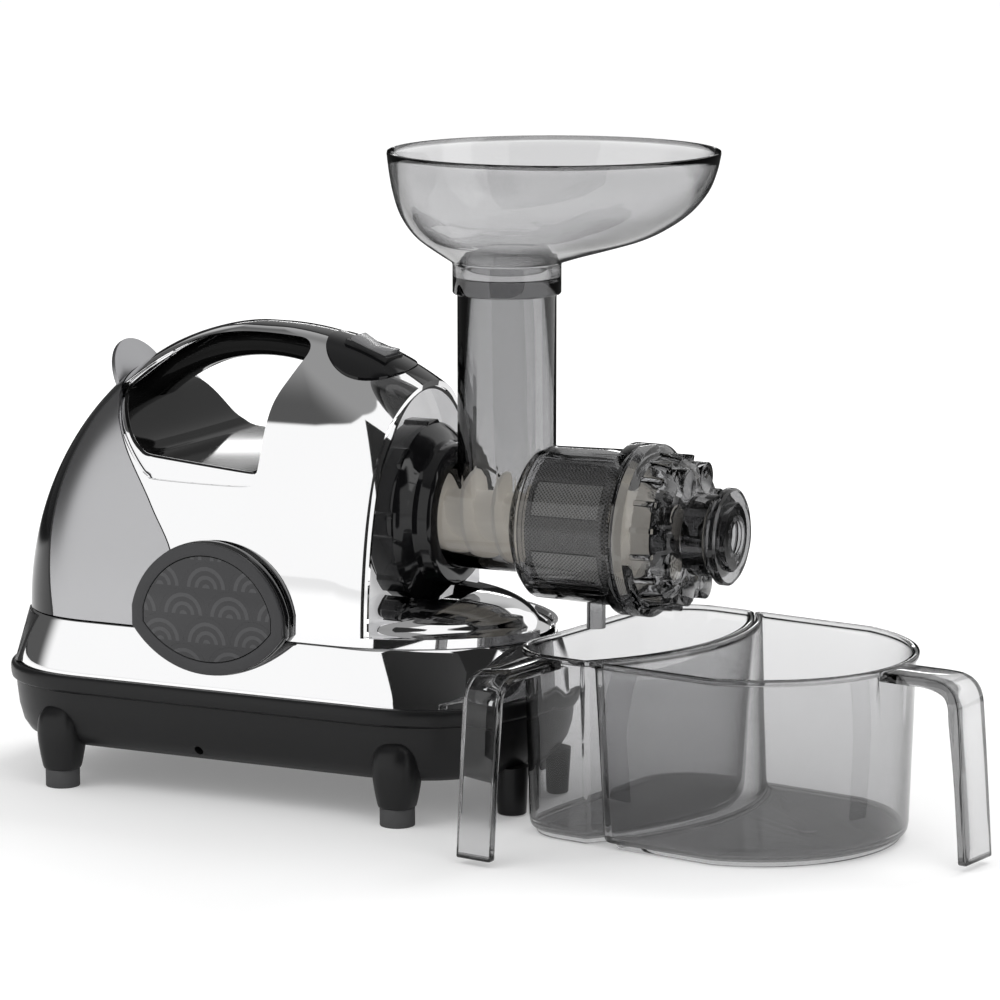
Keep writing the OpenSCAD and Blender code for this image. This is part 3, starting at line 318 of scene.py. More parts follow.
@dataclass(frozen=True)
class Outline:
    """Plan of two superellipse ends on straight sides."""

    rear: float
    front: float
    half_w: float
    rear_round: float
    front_round: float
    rear_n: float
    front_n: float

    def at(self, turn: float, inset: float = 0.0) -> Point:
        """Finds a point of the outline.

        Args:
            turn: Place round the outline, 0..1, from the near front corner by the front end.
            inset: Distance that the outline is drawn in.

        Returns:
            X and Y in millimetres.
        """
        w, fr, rr = self.half_w - inset, self.front_round - inset, self.rear_round - inset
        mid_front, mid_rear = self.front - self.front_round, self.rear_round - self.rear
        turn %= 1.0
        if turn < 0.4:
            a = math.radians(-90 + 450 * turn)
            return mid_front + fr * power(math.cos(a), 2 / self.front_n), w * power(math.sin(a), 2 / self.front_n)
        if turn < 0.5:
            k = (turn - 0.4) * 10
            return mid_front * (1 - k) + mid_rear * k, w
        if turn < 0.9:
            a = math.radians(90 - 450 * (turn - 0.5))
            return mid_rear - rr * power(math.cos(a), 2 / self.rear_n), w * power(math.sin(a), 2 / self.rear_n)
        k = (turn - 0.9) * 10
        return mid_rear * (1 - k) + mid_front * k, -w


@dataclass(frozen=True)
class Dome:
    """The housing's domed shape: a plan that shrinks upwards as a quarter ellipse."""

    axis: float = -133.0
    rear: float = 133.0
    front: float = 162.0
    half_w: float = 69.5
    height: float = 152.3
    rear_round: float = 60.0
    front_round: float = 92.0
    setback: float = 5.0
    rear_n: float = 2.3
    front_n: Point = (1.85, 0.15)
    full_at: float = 30.0

    def plan(self, full: float = 0.0) -> Outline:
        """Gives the plan.

        Args:
            full: 0 at the foot, up to 1 higher up, where it is fuller.

        Returns:
            The plan.
        """
        back, n = self.setback * (1 - full), self.front_n[0] + self.front_n[1] * full
        return Outline(self.rear, self.front - back, self.half_w, self.rear_round, self.front_round - back,
                       self.rear_n, n)

    def at(self, turn: float, angle: float, inset: float = 0.0) -> Vector:
        """Finds a point of the dome.

        Args:
            turn: Place round the plan, 0..1.
            angle: Angle up the dome's side in degrees.
            inset: Distance inside the dome's skin.

        Returns:
            The point in millimetres.
        """
        x, y = self.plan(min(1.0, angle / self.full_at)).at(turn, inset)
        c, s = math.cos(math.radians(angle)), math.sin(math.radians(angle))
        return Vector((self.axis + x * c, y * c, SEAM_Z + (self.height - inset) * s))

    def misfit(self, co: Vector, inset: float = 0.0) -> float:
        """Tells how far outside (+) or inside (-) the dome a point is.

        Args:
            co: The point in millimetres.
            inset: Distance of the surface inside the dome's skin.

        Returns:
            A measure of the distance, in no unit.
        """
        s = min(0.99999, max(0.0, (co.z - SEAM_Z) / (self.height - inset)))
        c = math.sqrt(1 - s * s)
        full = min(1.0, math.degrees(math.asin(s)) / self.full_at)
        x, y, w = (co.x - self.axis) / c, abs(co.y) / c, self.half_w - inset
        fr, rr = self.front_round - self.setback * (1 - full) - inset, self.rear_round - inset
        mid_front, mid_rear = self.front - self.front_round, self.rear_round - self.rear
        if x > mid_front:
            n = self.front_n[0] + self.front_n[1] * full
            return ((x - mid_front) / fr) ** n + (y / w) ** n - 1
        if x < mid_rear:
            return ((mid_rear - x) / rr) ** self.rear_n + (y / w) ** self.rear_n - 1
        return (y / w) ** 2 - 1

    def normal(self, co: Vector, inset: float = 0.0) -> Vector:
        """Gives the dome's outward direction at a point on it."""
        steps = (Vector((0.02, 0, 0)), Vector((0, 0.02, 0)), Vector((0, 0, 0.02)))
        return Vector([self.misfit(co + d, inset) - self.misfit(co - d, inset) for d in steps]).normalized()

    def half_at(self, x: float, z: float, inset: float = 0.0) -> float:
        """Finds the dome's half width.

        Args:
            x: X of a point of the side view.
            z: Its height.
            inset: Distance inside the dome's skin.

        Returns:
            The half width in millimetres, or 0 outside the dome.
        """
        if self.misfit(Vector((x, 0, z)), inset) > 0:
            return 0.0
        low, high = 0.0, self.half_w
        for _ in range(40):
            mid = (low + high) / 2
            if self.misfit(Vector((x, mid, z)), inset) < 0:
                low = mid
            else:
                high = mid
        return low

    def ridge_z(self, x: float) -> float:
        """Finds the ridge's height."""
        reach = self.rear if x < self.axis else self.front
        return SEAM_Z + self.height * math.sqrt(max(0.0, 1 - ((x - self.axis) / reach) ** 2))

    def shell(self, outer: float, inner: float, foot: float) -> Solid:
        """Builds a closed domed shell, cut level at its foot.

        Args:
            outer: Inset of its outer side.
            inner: Inset of its inner side.
            foot: Height of its foot above the seam.

        Returns:
            The shell.
        """
        low = math.degrees(math.asin(foot / self.height))
        angles = [low + (90 - low) * i / 72 for i in range(73)]
        walls = [(a, outer) for a in angles] + [(a, inner) for a in reversed(angles)]
        return loft([[self.at(t, a, inset) for t in turns(240)] for a, inset in walls], ring=True)

    def polish(self, obj: Piece, insets: Sequence[float]) -> None:
        """Gives an object's mesh the dome's own exact normals wherever it lies on the dome.

        Args:
            obj: The object, in millimetres.
            insets: Insets of the surfaces that it may lie on.
        """
        mesh = obj.data
        mesh.set_sharp_from_angle(angle=math.radians(32))
        found = {}
        for v in mesh.vertices:
            for inset in insets:
                if SEAM_Z + 0.01 < v.co.z < SEAM_Z + self.height - inset - 0.5:
                    n = self.normal(v.co, inset)
                    gap = self.misfit(v.co, inset)
                    step = self.misfit(v.co + n * 0.1, inset) - gap
                    if step and abs(gap / step * 0.1) < 0.12:
                        found[v.index] = n
        normals = [Vector(n.vector) for n in mesh.corner_normals]
        for face in mesh.polygons:
            for k in face.loop_indices:
                n = found.get(mesh.loops[k].vertex_index)
                if n is not None and abs(n.dot(face.normal)) > 0.93:
                    normals[k] = n if n.dot(face.normal) > 0 else -n
        mesh.normals_split_custom_set(normals)


DOME = Dome()
TOP_Z = SEAM_Z + DOME.height
# Side views in millimetres: the hand opening as X and depth below the housing's top, its lip's two shifts and
# depth at each of those points, and the rear cover's front edge as X and height over the seam.
HAND_HOLE = [(-207, 36), (-203, 41), (-191.5, 58.5), (-182, 70), (-176, 75), (-168, 77), (-121, 77), (-114.5, 74),
             (-112, 67), (-111.5, 48), (-109.5, 34), (-103, 20), (-99.5, 11), (-104, 6), (-115, 4.3),
             (-139.4, 3.8), (-155.5, 5.4), (-168, 9), (-182, 16.5), (-196, 26)]
HAND_LIP = [(4.5, -0.5, 0.5), (4.2, -1.0, 0.6), (3.2, -2.0, 0.8), (0.8, -7.4, 1.5), (-0.8, -10.4, 2.4), (0, -11.4, 3),
            (-0.2, -7.6, 2.2), (-1.4, -5.0, 1.4), (-0.9, -1.6, 0.9), (-0.8, 0, 0.8), (-0.8, 0, 0.8), (-0.8, 0.2, 0.8),
            (-0.8, 0.3, 0.8), (0, 0.6, 0.8), (0, 0.6, 0.8), (0, 0.6, 0.8), (0, 0.6, 0.8), (0.3, 0.7, 0.8),
            (0.8, 0.8, 0.8), (2.8, 0.8, 0.6)]
COVER_EDGE = [(-176, -20), (-176, 4), (-157, 33), (-171.3, 62.5), (-190, 90), (-203, 115), (-211, 135), (-216, 172.3)]


def hand_hole(steps: int = 5) -> list[tuple[float, ...]]:
    """Gives the hand opening's smooth outline: X, Z, the lip's two shifts and its depth."""
    rows = [(x, TOP_Z - d, dx, -dd, deep) for (x, d), (dx, dd, deep) in zip(HAND_HOLE, HAND_LIP)]
    return smooth_path(rows, steps, closed=True)


def behind_edge(grow: float) -> Solid:
    """Builds the space behind the rear cover's front edge, as a cutting tool.

    Args:
        grow: Distance that the edge is moved forward.

    Returns:
        The space.
    """
    edge = [(x + grow, SEAM_Z + z) for x, z in COVER_EDGE]
    edge = edge[:2] + smooth_path(edge[1:7], 8)[1:] + edge[7:]
    return through([(-FAR, SEAM_Z + COVER_EDGE[0][1])] + edge + [(-FAR, SEAM_Z + COVER_EDGE[-1][1])])


def throat(back: float) -> Solid:
    """Builds the space ahead of the housing's front edge, as a cutting tool.

    Args:
        back: Distance that the edge is moved back.

    Returns:
        The space.
    """
    side = [(-48.5, SEAM_Z + 5), (-48.5, SEAM_Z + 60), (-48.3, SEAM_Z + 90), (-46.5, SEAM_Z + 108), (-42.5, TOP_Z - 25),
            (-42.5, TOP_Z + 30)]
    return through([(x - back, z) for x, z in side] + [(80, TOP_Z + 30), (80, SEAM_Z + 5)])


def switch_hole(a: float, b: float, steps: int = 72) -> list[Point]:
    """Gives the oval hole for the switch panel in plan."""
    return ellipse(-74.5, -4.0, a, b, steps)


# ---------------------------------------------------------------- finishes


class Tree:
    """A node tree with short ways to add and join nodes."""

    def __init__(self, tree: bpy.types.NodeTree) -> None:
        """Takes over a tree."""
        self.tree = tree
        self.link = tree.links.new

    def add(self, kind: str, inputs: dict | None = None, **settings: object) -> Node:
        """Adds a node.

        Args:
            kind: The node's type, without its ShaderNode prefix.
            inputs: Values or sockets for its inputs, by name or number.
            **settings: Properties of the node.

        Returns:
            The node.
        """
        node = self.tree.nodes.new("ShaderNode" + kind)
        for key, value in settings.items():
            setattr(node, key, value)
        for key, value in (inputs or {}).items():
            if isinstance(value, Socket):
                self.link(value, node.inputs[key])
            else:
                node.inputs[key].default_value = value
        return node

    def get(self, kind: str, inputs: dict | None = None, output: int | str = 0, **settings: object) -> Socket:
        """Adds a node and gives one of its outputs."""
        return self.add(kind, inputs, **settings).outputs[output]

    def math(self, what: str, a: object, b: object = 0.0, c: object = 0.0) -> Socket:
        """Adds a Math node and gives its output."""
        return self.get("Math", {0: a, 1: b, 2: c}, operation=what)

    def mul(self, a: object, b: object) -> Socket:
        """Multiplies two values."""
        return self.math("MULTIPLY", a, b)

    def sub(self, a: object, b: object) -> Socket:
        """Takes one value from another."""
        return self.math("SUBTRACT", a, b)

    def scale(self, color: object, by: object) -> Socket:
        """Makes a colour darker or lighter by a factor."""
        return self.get("VectorMath", {0: color, "Scale": by}, operation="SCALE")

    def ramp(self, value: object, low: float, high: float, first: float = 0.0, last: float = 1.0) -> Socket:
        """Turns a value smoothly from a first to a last level between two limits."""
        return self.get("MapRange", {0: value, 1: low, 2: high, 3: first, 4: last}, interpolation_type="SMOOTHSTEP")

    def window(self, value: object, low: float, high: float, soft: float) -> Socket:
        """Gives 1 between two limits and 0 outside them, with soft edges."""
        return self.mul(self.ramp(value, low - soft / 2, low + soft / 2),
                        self.ramp(value, high - soft / 2, high + soft / 2, 1.0, 0.0))

    def mix(self, factor: object, a: object, b: object) -> Socket:
        """Mixes two colours and gives the result."""
        return self.get("Mix", {0: factor, 6: a, 7: b}, 2, data_type="RGBA")

    def coords(self) -> Socket:
        """Gives the piece's own coordinates."""
        return self.get("TexCoord", output="Object")

    def axes(self, vector: Socket | None = None) -> list[Socket]:
        """Gives the X, Y and Z of a direction, or of the piece's own coordinates."""
        return list(self.add("SeparateXYZ", {0: self.coords() if vector is None else vector}).outputs)

    def mirrored(self, path: Node) -> Socket:
        """Gives 1 where a Light Path's ray comes from a mirroring, and not through glass."""
        return self.sub(path.outputs["Is Glossy Ray"], path.outputs["Is Transmission Ray"])

    def noise(self, where: Socket, scale: object, detail: float) -> Socket:
        """Gives plain noise."""
        return self.get("TexNoise", {"Vector": where, "Scale": scale, "Detail": detail})

    def group(self, name: str, inputs: dict[str, object]) -> Node:
        """Places one of the shared groups."""
        return self.add("Group", inputs, node_tree=GROUPS[name])

    def bump(self, shader: Node, height: Socket, depth_mm: float) -> None:
        """Presses a height into a shader's surface."""
        node = self.add("Bump", {"Height": height, "Strength": 1.0, "Distance": depth_mm * MM})
        self.link(node.outputs[0], shader.inputs["Normal"])


def wipe_marks(t: Tree, i: dict[str, Socket]) -> tuple[Socket, ...]:
    """Makes faint wipe marks: uneven roughness and tone.

    Args:
        t: The group's tree.
        i: Its inputs, by name.

    Returns:
        The roughness and the tone.
    """
    where = t.get("Mapping", {"Vector": t.coords(), "Scale": (1.0, 1.0, 0.45)})
    broad, fine = t.noise(where, i["Scale"], 3.0), t.noise(where, t.mul(i["Scale"], 9.0), 2.0)
    tone = t.math("ADD", t.mul(broad, 0.7), t.mul(fine, 0.3))
    return t.math("MULTIPLY_ADD", t.sub(tone, 0.5), i["Spread"], i["Roughness"]), tone


def tint(t: Tree, i: dict[str, Socket]) -> tuple[Socket, ...]:
    """Varies a colour a little over a surface."""
    noise = t.noise(t.coords(), i["Scale"], 4.0)
    return t.scale(i["Color"], t.math("MULTIPLY_ADD", t.sub(noise, 0.5), i["Shift"], 1.0)),


def mould_grain(t: Tree, i: dict[str, Socket]) -> tuple[Socket, ...]:
    """Makes the fine grain of a spark-eroded mould."""
    cells = t.get("TexVoronoi", {"Vector": t.coords(), "Scale": i["Scale"]}, "Distance")
    return t.math("ADD", cells, t.noise(t.coords(), t.mul(i["Scale"], 1.7), 2.0)),


def brush_lines(t: Tree, i: dict[str, Socket]) -> tuple[Socket, ...]:
    """Makes fine lines that run one way, as brushing or turning leaves them.

    Args:
        t: The group's tree.
        i: Its inputs, by name.

    Returns:
        The lines' height.
    """
    stretch = t.get("CombineXYZ", {0: i["Along X"], 1: i["Along Y"], 2: i["Along Z"]})
    where = t.get("VectorMath", {0: t.coords(), 1: stretch}, operation="MULTIPLY")
    return t.noise(where, i["Scale"], 5.0),


def new_group(make: Callable[[Tree, dict[str, Socket]], tuple[Socket, ...]], inputs: dict[str, object],
              outputs: dict[str, str]) -> bpy.types.NodeTree:
    """Builds a shared shader group.

    Args:
        make: Function that adds the group's nodes and gives its outputs.
        inputs: Start values by input name, where a tuple is a colour.
        outputs: Socket kinds by output name.

    Returns:
        The group.
    """
    group = bpy.data.node_groups.new(make.__name__, "ShaderNodeTree")
    for key, value in inputs.items():
        kind = "NodeSocketColor" if isinstance(value, tuple) else "NodeSocketFloat"
        group.interface.new_socket(key, in_out="INPUT", socket_type=kind).default_value = value
    for key, kind in outputs.items():
        group.interface.new_socket(key, in_out="OUTPUT", socket_type="NodeSocket" + kind)
    taken, given = group.nodes.new("NodeGroupInput").outputs, group.nodes.new("NodeGroupOutput").inputs
    for key, socket in zip(outputs, make(Tree(group), taken)):
        group.links.new(socket, given[key])
    return group


GROUPS = {
    "marks": new_group(wipe_marks, {"Roughness": 0.2, "Spread": 0.05, "Scale": 30.0},
                       {"Roughness": "Float", "Tone": "Float"}),
    "tint": new_group(tint, {"Color": (0.5, 0.5, 0.5, 1.0), "Shift": 0.1, "Scale": 12.0}, {"Color": "Color"}),
    "grain": new_group(mould_grain, {"Scale": 900.0}, {"Height": "Float"}),
    "brush": new_group(brush_lines, {"Scale": 260.0, "Along X": 0.02, "Along Y": 1.0, "Along Z": 1.0},
                       {"Value": "Float"}),
}


@dataclass(frozen=True)
class Finish:
    """A finish of the object, which builds its own material."""

    color: Triple
    roughness: float
    spread: float = 0.05
    shift: float = 0.1

    def build(self, name: str) -> bpy.types.Material:
        """Builds the material: a Principled shader with uneven roughness and tint, and what the kind adds.

        Args:
            name: The material's name.

        Returns:
            The material.
        """
        material = bpy.data.materials.new(name)
        material.use_nodes = True
        material.diffuse_color = (*self.color, 1.0)
        tree = Tree(material.node_tree)
        shader = material.node_tree.nodes["Principled BSDF"]
        marks = tree.group("marks", {"Roughness": self.roughness, "Spread": self.spread})
        base = tree.group("tint", {"Color": (*self.color, 1.0), "Shift": self.shift}).outputs["Color"]
        tree.link(marks.outputs["Roughness"], shader.inputs["Roughness"])
        tree.link(base, shader.inputs["Base Color"])
        for key, value in self.detail(tree, shader, base).items():
            shader.inputs[key].default_value = value
        return material

    def detail(self, tree: Tree, shader: Node, base: Socket) -> dict[str, object]:
        """Adds what is special to the kind of finish.

        Args:
            tree: The material's tree.
            shader: Its Principled shader.
            base: Its tinted colour.

        Returns:
            The shader's plain values, by name.
        """
        return {}


@dataclass(frozen=True)
class Metal(Finish):
    """Plated, polished or brushed metal."""

    lines: float = 0.0
    stretch: Triple = (0.02, 1.0, 1.0)

    def detail(self, tree: Tree, shader: Node, base: Socket) -> dict[str, object]:
        """Adds the brushed lines.

        Args:
            tree: The material's tree.
            shader: Its Principled shader.
            base: Its tinted colour.

        Returns:
            The shader's plain values, by name.
        """
        if self.lines:
            along = {f"Along {axis}": value for axis, value in zip("XYZ", self.stretch)}
            tree.bump(shader, tree.group("brush", along).outputs["Value"], self.lines)
        return {"Metallic": 1.0}


@dataclass(frozen=True)
class Plastic(Finish):
    """Moulded plastic, satin or glossy."""

    grain: float = 0.0
    coat: float = 0.0
    shine: float = 0.5
    # Painted light: strength at which the piece glows with its own colour.
    glow: float = 0.0
    ior: float = 1.5

    def detail(self, tree: Tree, shader: Node, base: Socket) -> dict[str, object]:
        """Adds the mould's grain.

        Args:
            tree: The material's tree.
            shader: Its Principled shader.
            base: Its tinted colour.

        Returns:
            The shader's plain values, by name.
        """
        if self.grain:
            tree.bump(shader, tree.group("grain", {}).outputs["Height"], self.grain)
        # Painted light: Emission Strength makes the piece glow with its own colour.
        return {"Emission Color": (*self.color, 1.0), "Emission Strength": self.glow, "IOR": self.ior,
                "Specular IOR Level": self.shine, "Coat Weight": self.coat, "Coat Roughness": 0.03}


@dataclass(frozen=True)
class Clear(Finish):
    """Clear smoke-tinted resin, with painted shade: darker where it is seen edge on, in level bands at rims and ledges,
    and a painted dark reflection in mirrors.
    """

    # Painted shade: level of the colour where the resin is seen edge on.
    edge: float = 0.14
    # Painted shade at rims and ledges: bands as low and high height in millimetres, and the level of the colour in
    # them.
    bands: tuple[Triple, ...] = ()

    def detail(self, tree: Tree, shader: Node, base: Socket) -> dict[str, object]:
        """Adds the painted shade of the darker edges, the rim bands and the mirrored views, and lets light through to
        what lies in the shade.

        Args:
            tree: The material's tree.
            shader: Its Principled shader.
            base: Its tinted colour.

        Returns:
            The shader's plain values, by name.
        """
        path = tree.add("LightPath")
        # Painted shade: the colour darkens where the resin is seen edge on.
        tone = tree.ramp(tree.get("LayerWeight", {"Blend": 0.5}, "Facing"), 0.55, 0.93, 1.0, self.edge)
        # Painted dark reflection: the colour darkens to 0.12 where the resin is seen in a mirror.
        tone = tree.mul(tone, tree.ramp(tree.mirrored(path), 0.0, 1.0, 1.0, 0.12))
        height = tree.axes()[2]
        # Painted shade in level bands at rims and ledges.
        for low, high, level in self.bands:
            rim_shade = tree.window(height, low * MM, high * MM, 0.3 * MM)
            tone = tree.mul(tone, tree.ramp(rim_shade, 0.0, 1.0, 1.0, level))
        tree.link(tree.scale(base, tone), shader.inputs["Base Color"])
        shade = tree.get("BsdfTransparent", {"Color": (0.62, 0.62, 0.625, 1.0)})
        both = tree.get("MixShader", {0: path.outputs["Is Shadow Ray"], 1: shader.outputs[0], 2: shade})
        tree.link(both, tree.tree.nodes["Material Output"].inputs["Surface"])
        return {"Transmission Weight": 1.0, "IOR": 1.5}


@dataclass(frozen=True)
class Sieve(Finish):
    """Etched steel sheet with round holes, seen round the drum's axis; the holes are painted near black as shade seen
    through them, and the sheet glows with painted light.
    """

    pitch: float = 1.1
    radius: float = 32.9
    hole: float = 0.42

    def detail(self, tree: Tree, shader: Node, base: Socket) -> dict[str, object]:
        """Adds the holes, in rows that run aslant round the sheet, painted near black as shade seen through them.

        Args:
            tree: The material's tree.
            shader: Its Principled shader.
            base: Its tinted colour.

        Returns:
            The shader's plain values, by name.
        """
        x, y, z = tree.axes()
        turn = tree.math("ARCTAN2", tree.sub(y, SHIFT.y * MM), tree.sub(z, DRUM_Z * MM))
        along, around = tree.mul(x, 1 / (self.pitch * MM)), tree.mul(turn, self.radius / self.pitch)
        waves = [tree.math("ABSOLUTE", tree.math("SINE", tree.mul(tree.math(what, along, around), math.pi)))
                 for what in ("ADD", "SUBTRACT")]
        hole = tree.math("GREATER_THAN", tree.mul(*waves), self.hole)
        # Painted shade: the holes are near black, and partly see-through.
        color = tree.mix(hole, base, (0.012, 0.012, 0.012, 1.0))
        for name in ("Base Color", "Emission Color"):
            tree.link(color, shader.inputs[name])
        tree.link(tree.math("MULTIPLY_ADD", hole, -0.35, 1.0), shader.inputs["Alpha"])
        # Painted light: the sheet glows with its own colour.
        return {"Metallic": 0.5, "Emission Strength": 0.2}


@dataclass(frozen=True)
class Plate(Finish):
    """Badge plate with a tone-on-tone pattern of arcs, laid in rows as scales."""

    coat: float = 0.0
    light: Triple = (0.055, 0.055, 0.058)
    middle: Point = (-132.0, 70.0)
    size: Point = (27.0, 14.3)
    flat: float = 0.53

    def detail(self, tree: Tree, shader: Node, base: Socket) -> dict[str, object]:
        """Adds the arcs.

        Args:
            tree: The material's tree.
            shader: Its Principled shader.
            base: Its tinted colour.

        Returns:
            The shader's plain values, by name.
        """
        x, _, z = tree.axes()
        x = tree.mul(tree.sub(x, (self.middle[0] + SHIFT.x) * MM), 1 / (self.size[0] * MM))
        z = tree.mul(tree.sub(z, self.middle[1] * MM), 1 / (self.size[1] * MM))
        half = tree.mul(tree.math("MODULO", tree.math("ABSOLUTE", tree.math("FLOOR", z)), 2.0), 0.5)
        u = tree.sub(tree.math("FRACT", tree.math("ADD", x, half)), 0.5)
        v = tree.mul(tree.math("FRACT", z), self.flat)
        reach = tree.math("SQRT", tree.math("ADD", tree.mul(u, u), tree.mul(v, v)))
        arcs = tree.math("GREATER_THAN", tree.math("SINE", tree.mul(reach, 38.0)), 0.1)
        mask = tree.mul(arcs, tree.math("LESS_THAN", reach, 0.5))
        tree.link(tree.mix(mask, base, (*self.light, 1.0)), shader.inputs["Base Color"])
        tree.bump(shader, mask, 0.05)
        return {"Coat Weight": self.coat, "Coat Roughness": 0.05}


@dataclass(frozen=True)
class Stripes(Finish):
    """Wound wire, stacked sheets or a printed board: two tones in fine bands along the machine."""

    second: Triple = (0.1, 0.1, 0.1)
    pitch: float = 1.0
    metallic: float = 0.0

    def detail(self, tree: Tree, shader: Node, base: Socket) -> dict[str, object]:
        """Adds the bands.

        Args:
            tree: The material's tree.
            shader: Its Principled shader.
            base: Its tinted colour.

        Returns:
            The shader's plain values, by name.
        """
        wave = tree.math("SINE", tree.mul(tree.axes()[0], math.tau / (self.pitch * MM)))
        band = tree.math("MULTIPLY_ADD", wave, 0.5, 0.5)
        tree.link(tree.mix(band, base, (*self.second, 1.0)), shader.inputs["Base Color"])
        tree.bump(shader, band, self.pitch * 0.3)
        return {"Metallic": self.metallic}


class Look(Enum):
    """Every finish of the object, by the record's slot or by its own name."""

    chrome_shell = Metal((0.93, 0.93, 0.935), 0.035, 0.02, 0.03)
    satin_steel = Metal((0.48, 0.48, 0.49), 0.30, 0.06, 0.05, lines=0.004, stretch=(1.0, 1.0, 0.03))
    tab_gray = Metal((0.36, 0.36, 0.37), 0.35, 0.08, 0.06, lines=0.003)
    black_gloss = Plastic((0.004, 0.004, 0.0045), 0.09, 0.04, 0.2, shine=0.42)
    black_satin = Plastic((0.0085, 0.0085, 0.009), 0.36, 0.12, 0.3, grain=0.005, shine=0.3)
    well_gloss = Plastic((0.005, 0.005, 0.005), 0.07, 0.03, 0.15, shine=0.5, ior=1.2)
    badge_frame = Plastic((0.042, 0.042, 0.044), 0.32, 0.1, 0.2, grain=0.004, shine=0.35)
    badge_gray = Plate((0.024, 0.024, 0.026), 0.25, 0.08, 0.2, coat=0.2)
    # Painted highlight: the dark rocker is made mid gray, for the bright highlight on its top.
    rocker_gray = Plastic((0.13, 0.13, 0.135), 0.2, 0.06, 0.15, grain=0.003, shine=0.8)
    rubber = Plastic((0.075, 0.075, 0.077), 0.75, 0.1, 0.3, grain=0.02, shine=0.3)
    # Painted shade: the bands darken the bowl's top rim and the boxes' floor ledge and top lip; every clear finish
    # darkens edge on and in mirrors.
    smoke_bowl = Clear((0.665, 0.665, 0.67), 0.012, 0.01, 0.04, edge=0.04, bands=((332.6, 340.0, 0.4),))
    smoke_box = Clear((0.70, 0.70, 0.705), 0.012, 0.01, 0.04, bands=((3.4, 5.2, 0.19), (90.4, 91.4, 0.6)))
    smoke_drum = Clear((0.53, 0.53, 0.535), 0.015, 0.01, 0.04)
    smoke_dark = Clear((0.52, 0.52, 0.525), 0.015, 0.01, 0.04)
    smoke_deep = Clear((0.34, 0.34, 0.345), 0.015, 0.01, 0.04)
    # Painted light and shade: the sheet glows, and its holes are painted near black.
    mesh_steel = Sieve((0.75, 0.75, 0.74), 0.45, 0.1, 0.1, pitch=2.0)
    plated_steel = Metal((0.66, 0.66, 0.67), 0.22, 0.08, 0.06, lines=0.003)
    # Partly the resin's own colour and partly painted light: lighter than the resin, and it glows, for light falling
    # through the drum.
    auger_resin = Plastic((0.80, 0.765, 0.70), 0.38, 0.1, 0.12, grain=0.006, glow=0.28)
    strainer_gray = Clear((0.62, 0.62, 0.625), 0.02, 0.01, 0.04, edge=0.06)
    # Painted light: the cowl's face glows, so that it shows light gray where it stands in shade.
    silver_paint = Plastic((0.60, 0.60, 0.605), 0.3, 0.08, 0.08, grain=0.003, coat=0.3, glow=0.7)
    gear_resin = Plastic((0.68, 0.66, 0.58), 0.45, 0.1, 0.12, grain=0.008)
    cast_alloy = Metal((0.5, 0.51, 0.52), 0.5, 0.15, 0.15, lines=0.02, stretch=(1.0, 1.0, 1.0))
    core_steel = Stripes((0.3, 0.3, 0.32), 0.45, 0.1, 0.1, (0.16, 0.16, 0.17), 0.7, 1.0)
    winding = Stripes((0.55, 0.22, 0.07), 0.3, 0.1, 0.1, (0.3, 0.1, 0.03), 0.9, 0.6)
    bush = Metal((0.6, 0.42, 0.18), 0.4, 0.1, 0.12, lines=0.004)
    board = Stripes((0.02, 0.12, 0.045), 0.4, 0.1, 0.15, (0.03, 0.17, 0.07), 5.0, 0.0)


MATERIALS = {look: look.value.build(look.name) for look in Look}


# ---------------------------------------------------------------- placing pieces


@dataclass
class Workshop:
    """Finishes pieces: puts them in the row frame, dresses them and hangs them on their bodies."""

    made: int = 0

    def place(self, obj: Piece, look: Look, body: str, instead_of: Sequence[str] = (), slot: str = "",
              sharp: float | None = None) -> None:
        """Finishes one new piece.

        Args:
            obj: The piece, in millimetres in the machine frame.
            look: Its finish.
            body: The body that it moves with.
            instead_of: CAD nodes that it stands for.
            slot: The record's slot of its finish, where the finish has another name; not used.
            sharp: Angle in degrees above which an edge is kept sharp, unless the mesh has its own normals.
        """
        mesh = obj.data
        mesh.polygons.foreach_set("use_smooth", [len(p.vertices) < 12 for p in mesh.polygons])
        if sharp is not None:
            mesh.set_sharp_from_angle(angle=math.radians(sharp))
        mesh.transform(TO_ROW)
        mesh.materials.clear()
        mesh.materials.append(MATERIALS[look])
        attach(obj, body)
        if instead_of:
            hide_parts(*instead_of)
        self.made += 1
        log.info("%s: %d faces, %s, moves with %s", obj.name, len(mesh.polygons), look.name, body)

    def dress(self, node: str, look: Look, bevel: float) -> None:
        """Gives a CAD node its finish, smooth shading and rounded edges.

        Args:
            node: The node's name.
            look: Its finish.
            bevel: Width of the edges' rounding in millimetres.
        """
        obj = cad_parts[node]
        mesh, sharp = obj.data, math.radians(30)
        mesh.materials.clear()
        mesh.materials.append(MATERIALS[look])
        for name in ("custom_normal", "sharp_edge", "sharp_face"):
            if name in mesh.attributes:
                mesh.attributes.remove(mesh.attributes[name])
        mesh.polygons.foreach_set("use_smooth", [True] * len(mesh.polygons))
        steps = [("WELD", {"merge_threshold": 2e-6})]
        if bevel:
            steps += [("DECIMATE", {"decimate_type": "DISSOLVE", "angle_limit": math.radians(0.6)}),
                      ("BEVEL", {"width": bevel * MM, "segments": 2, "limit_method": "ANGLE", "angle_limit": sharp,
                                 "harden_normals": False})]
        for kind, values in steps + [("EDGE_SPLIT", {"split_angle": sharp, "use_edge_sharp": False})]:
            mod = obj.modifiers.new(kind.lower(), kind)
            for key, value in values.items():
                setattr(mod, key, value)
        log.info("%s: kept, %s", node, look.name)


SHOP = Workshop()


def place_domed(obj: Piece, width: float, insets: Sequence[float], look: Look, body: str, node: str) -> None:
    """Softens a piece that lies on the dome, gives it the dome's normals and finishes it.

    Args:
        obj: The piece, in millimetres.
        width: Width of its edges' rounding.
        insets: Insets of the surfaces that it lies on.
        look: Its finish.
        body: The body that it moves with.
        node: The CAD node that it stands for.
    """
    soften(obj, width)
    DOME.polish(obj, insets)
    SHOP.place(obj, look, body, (node,))


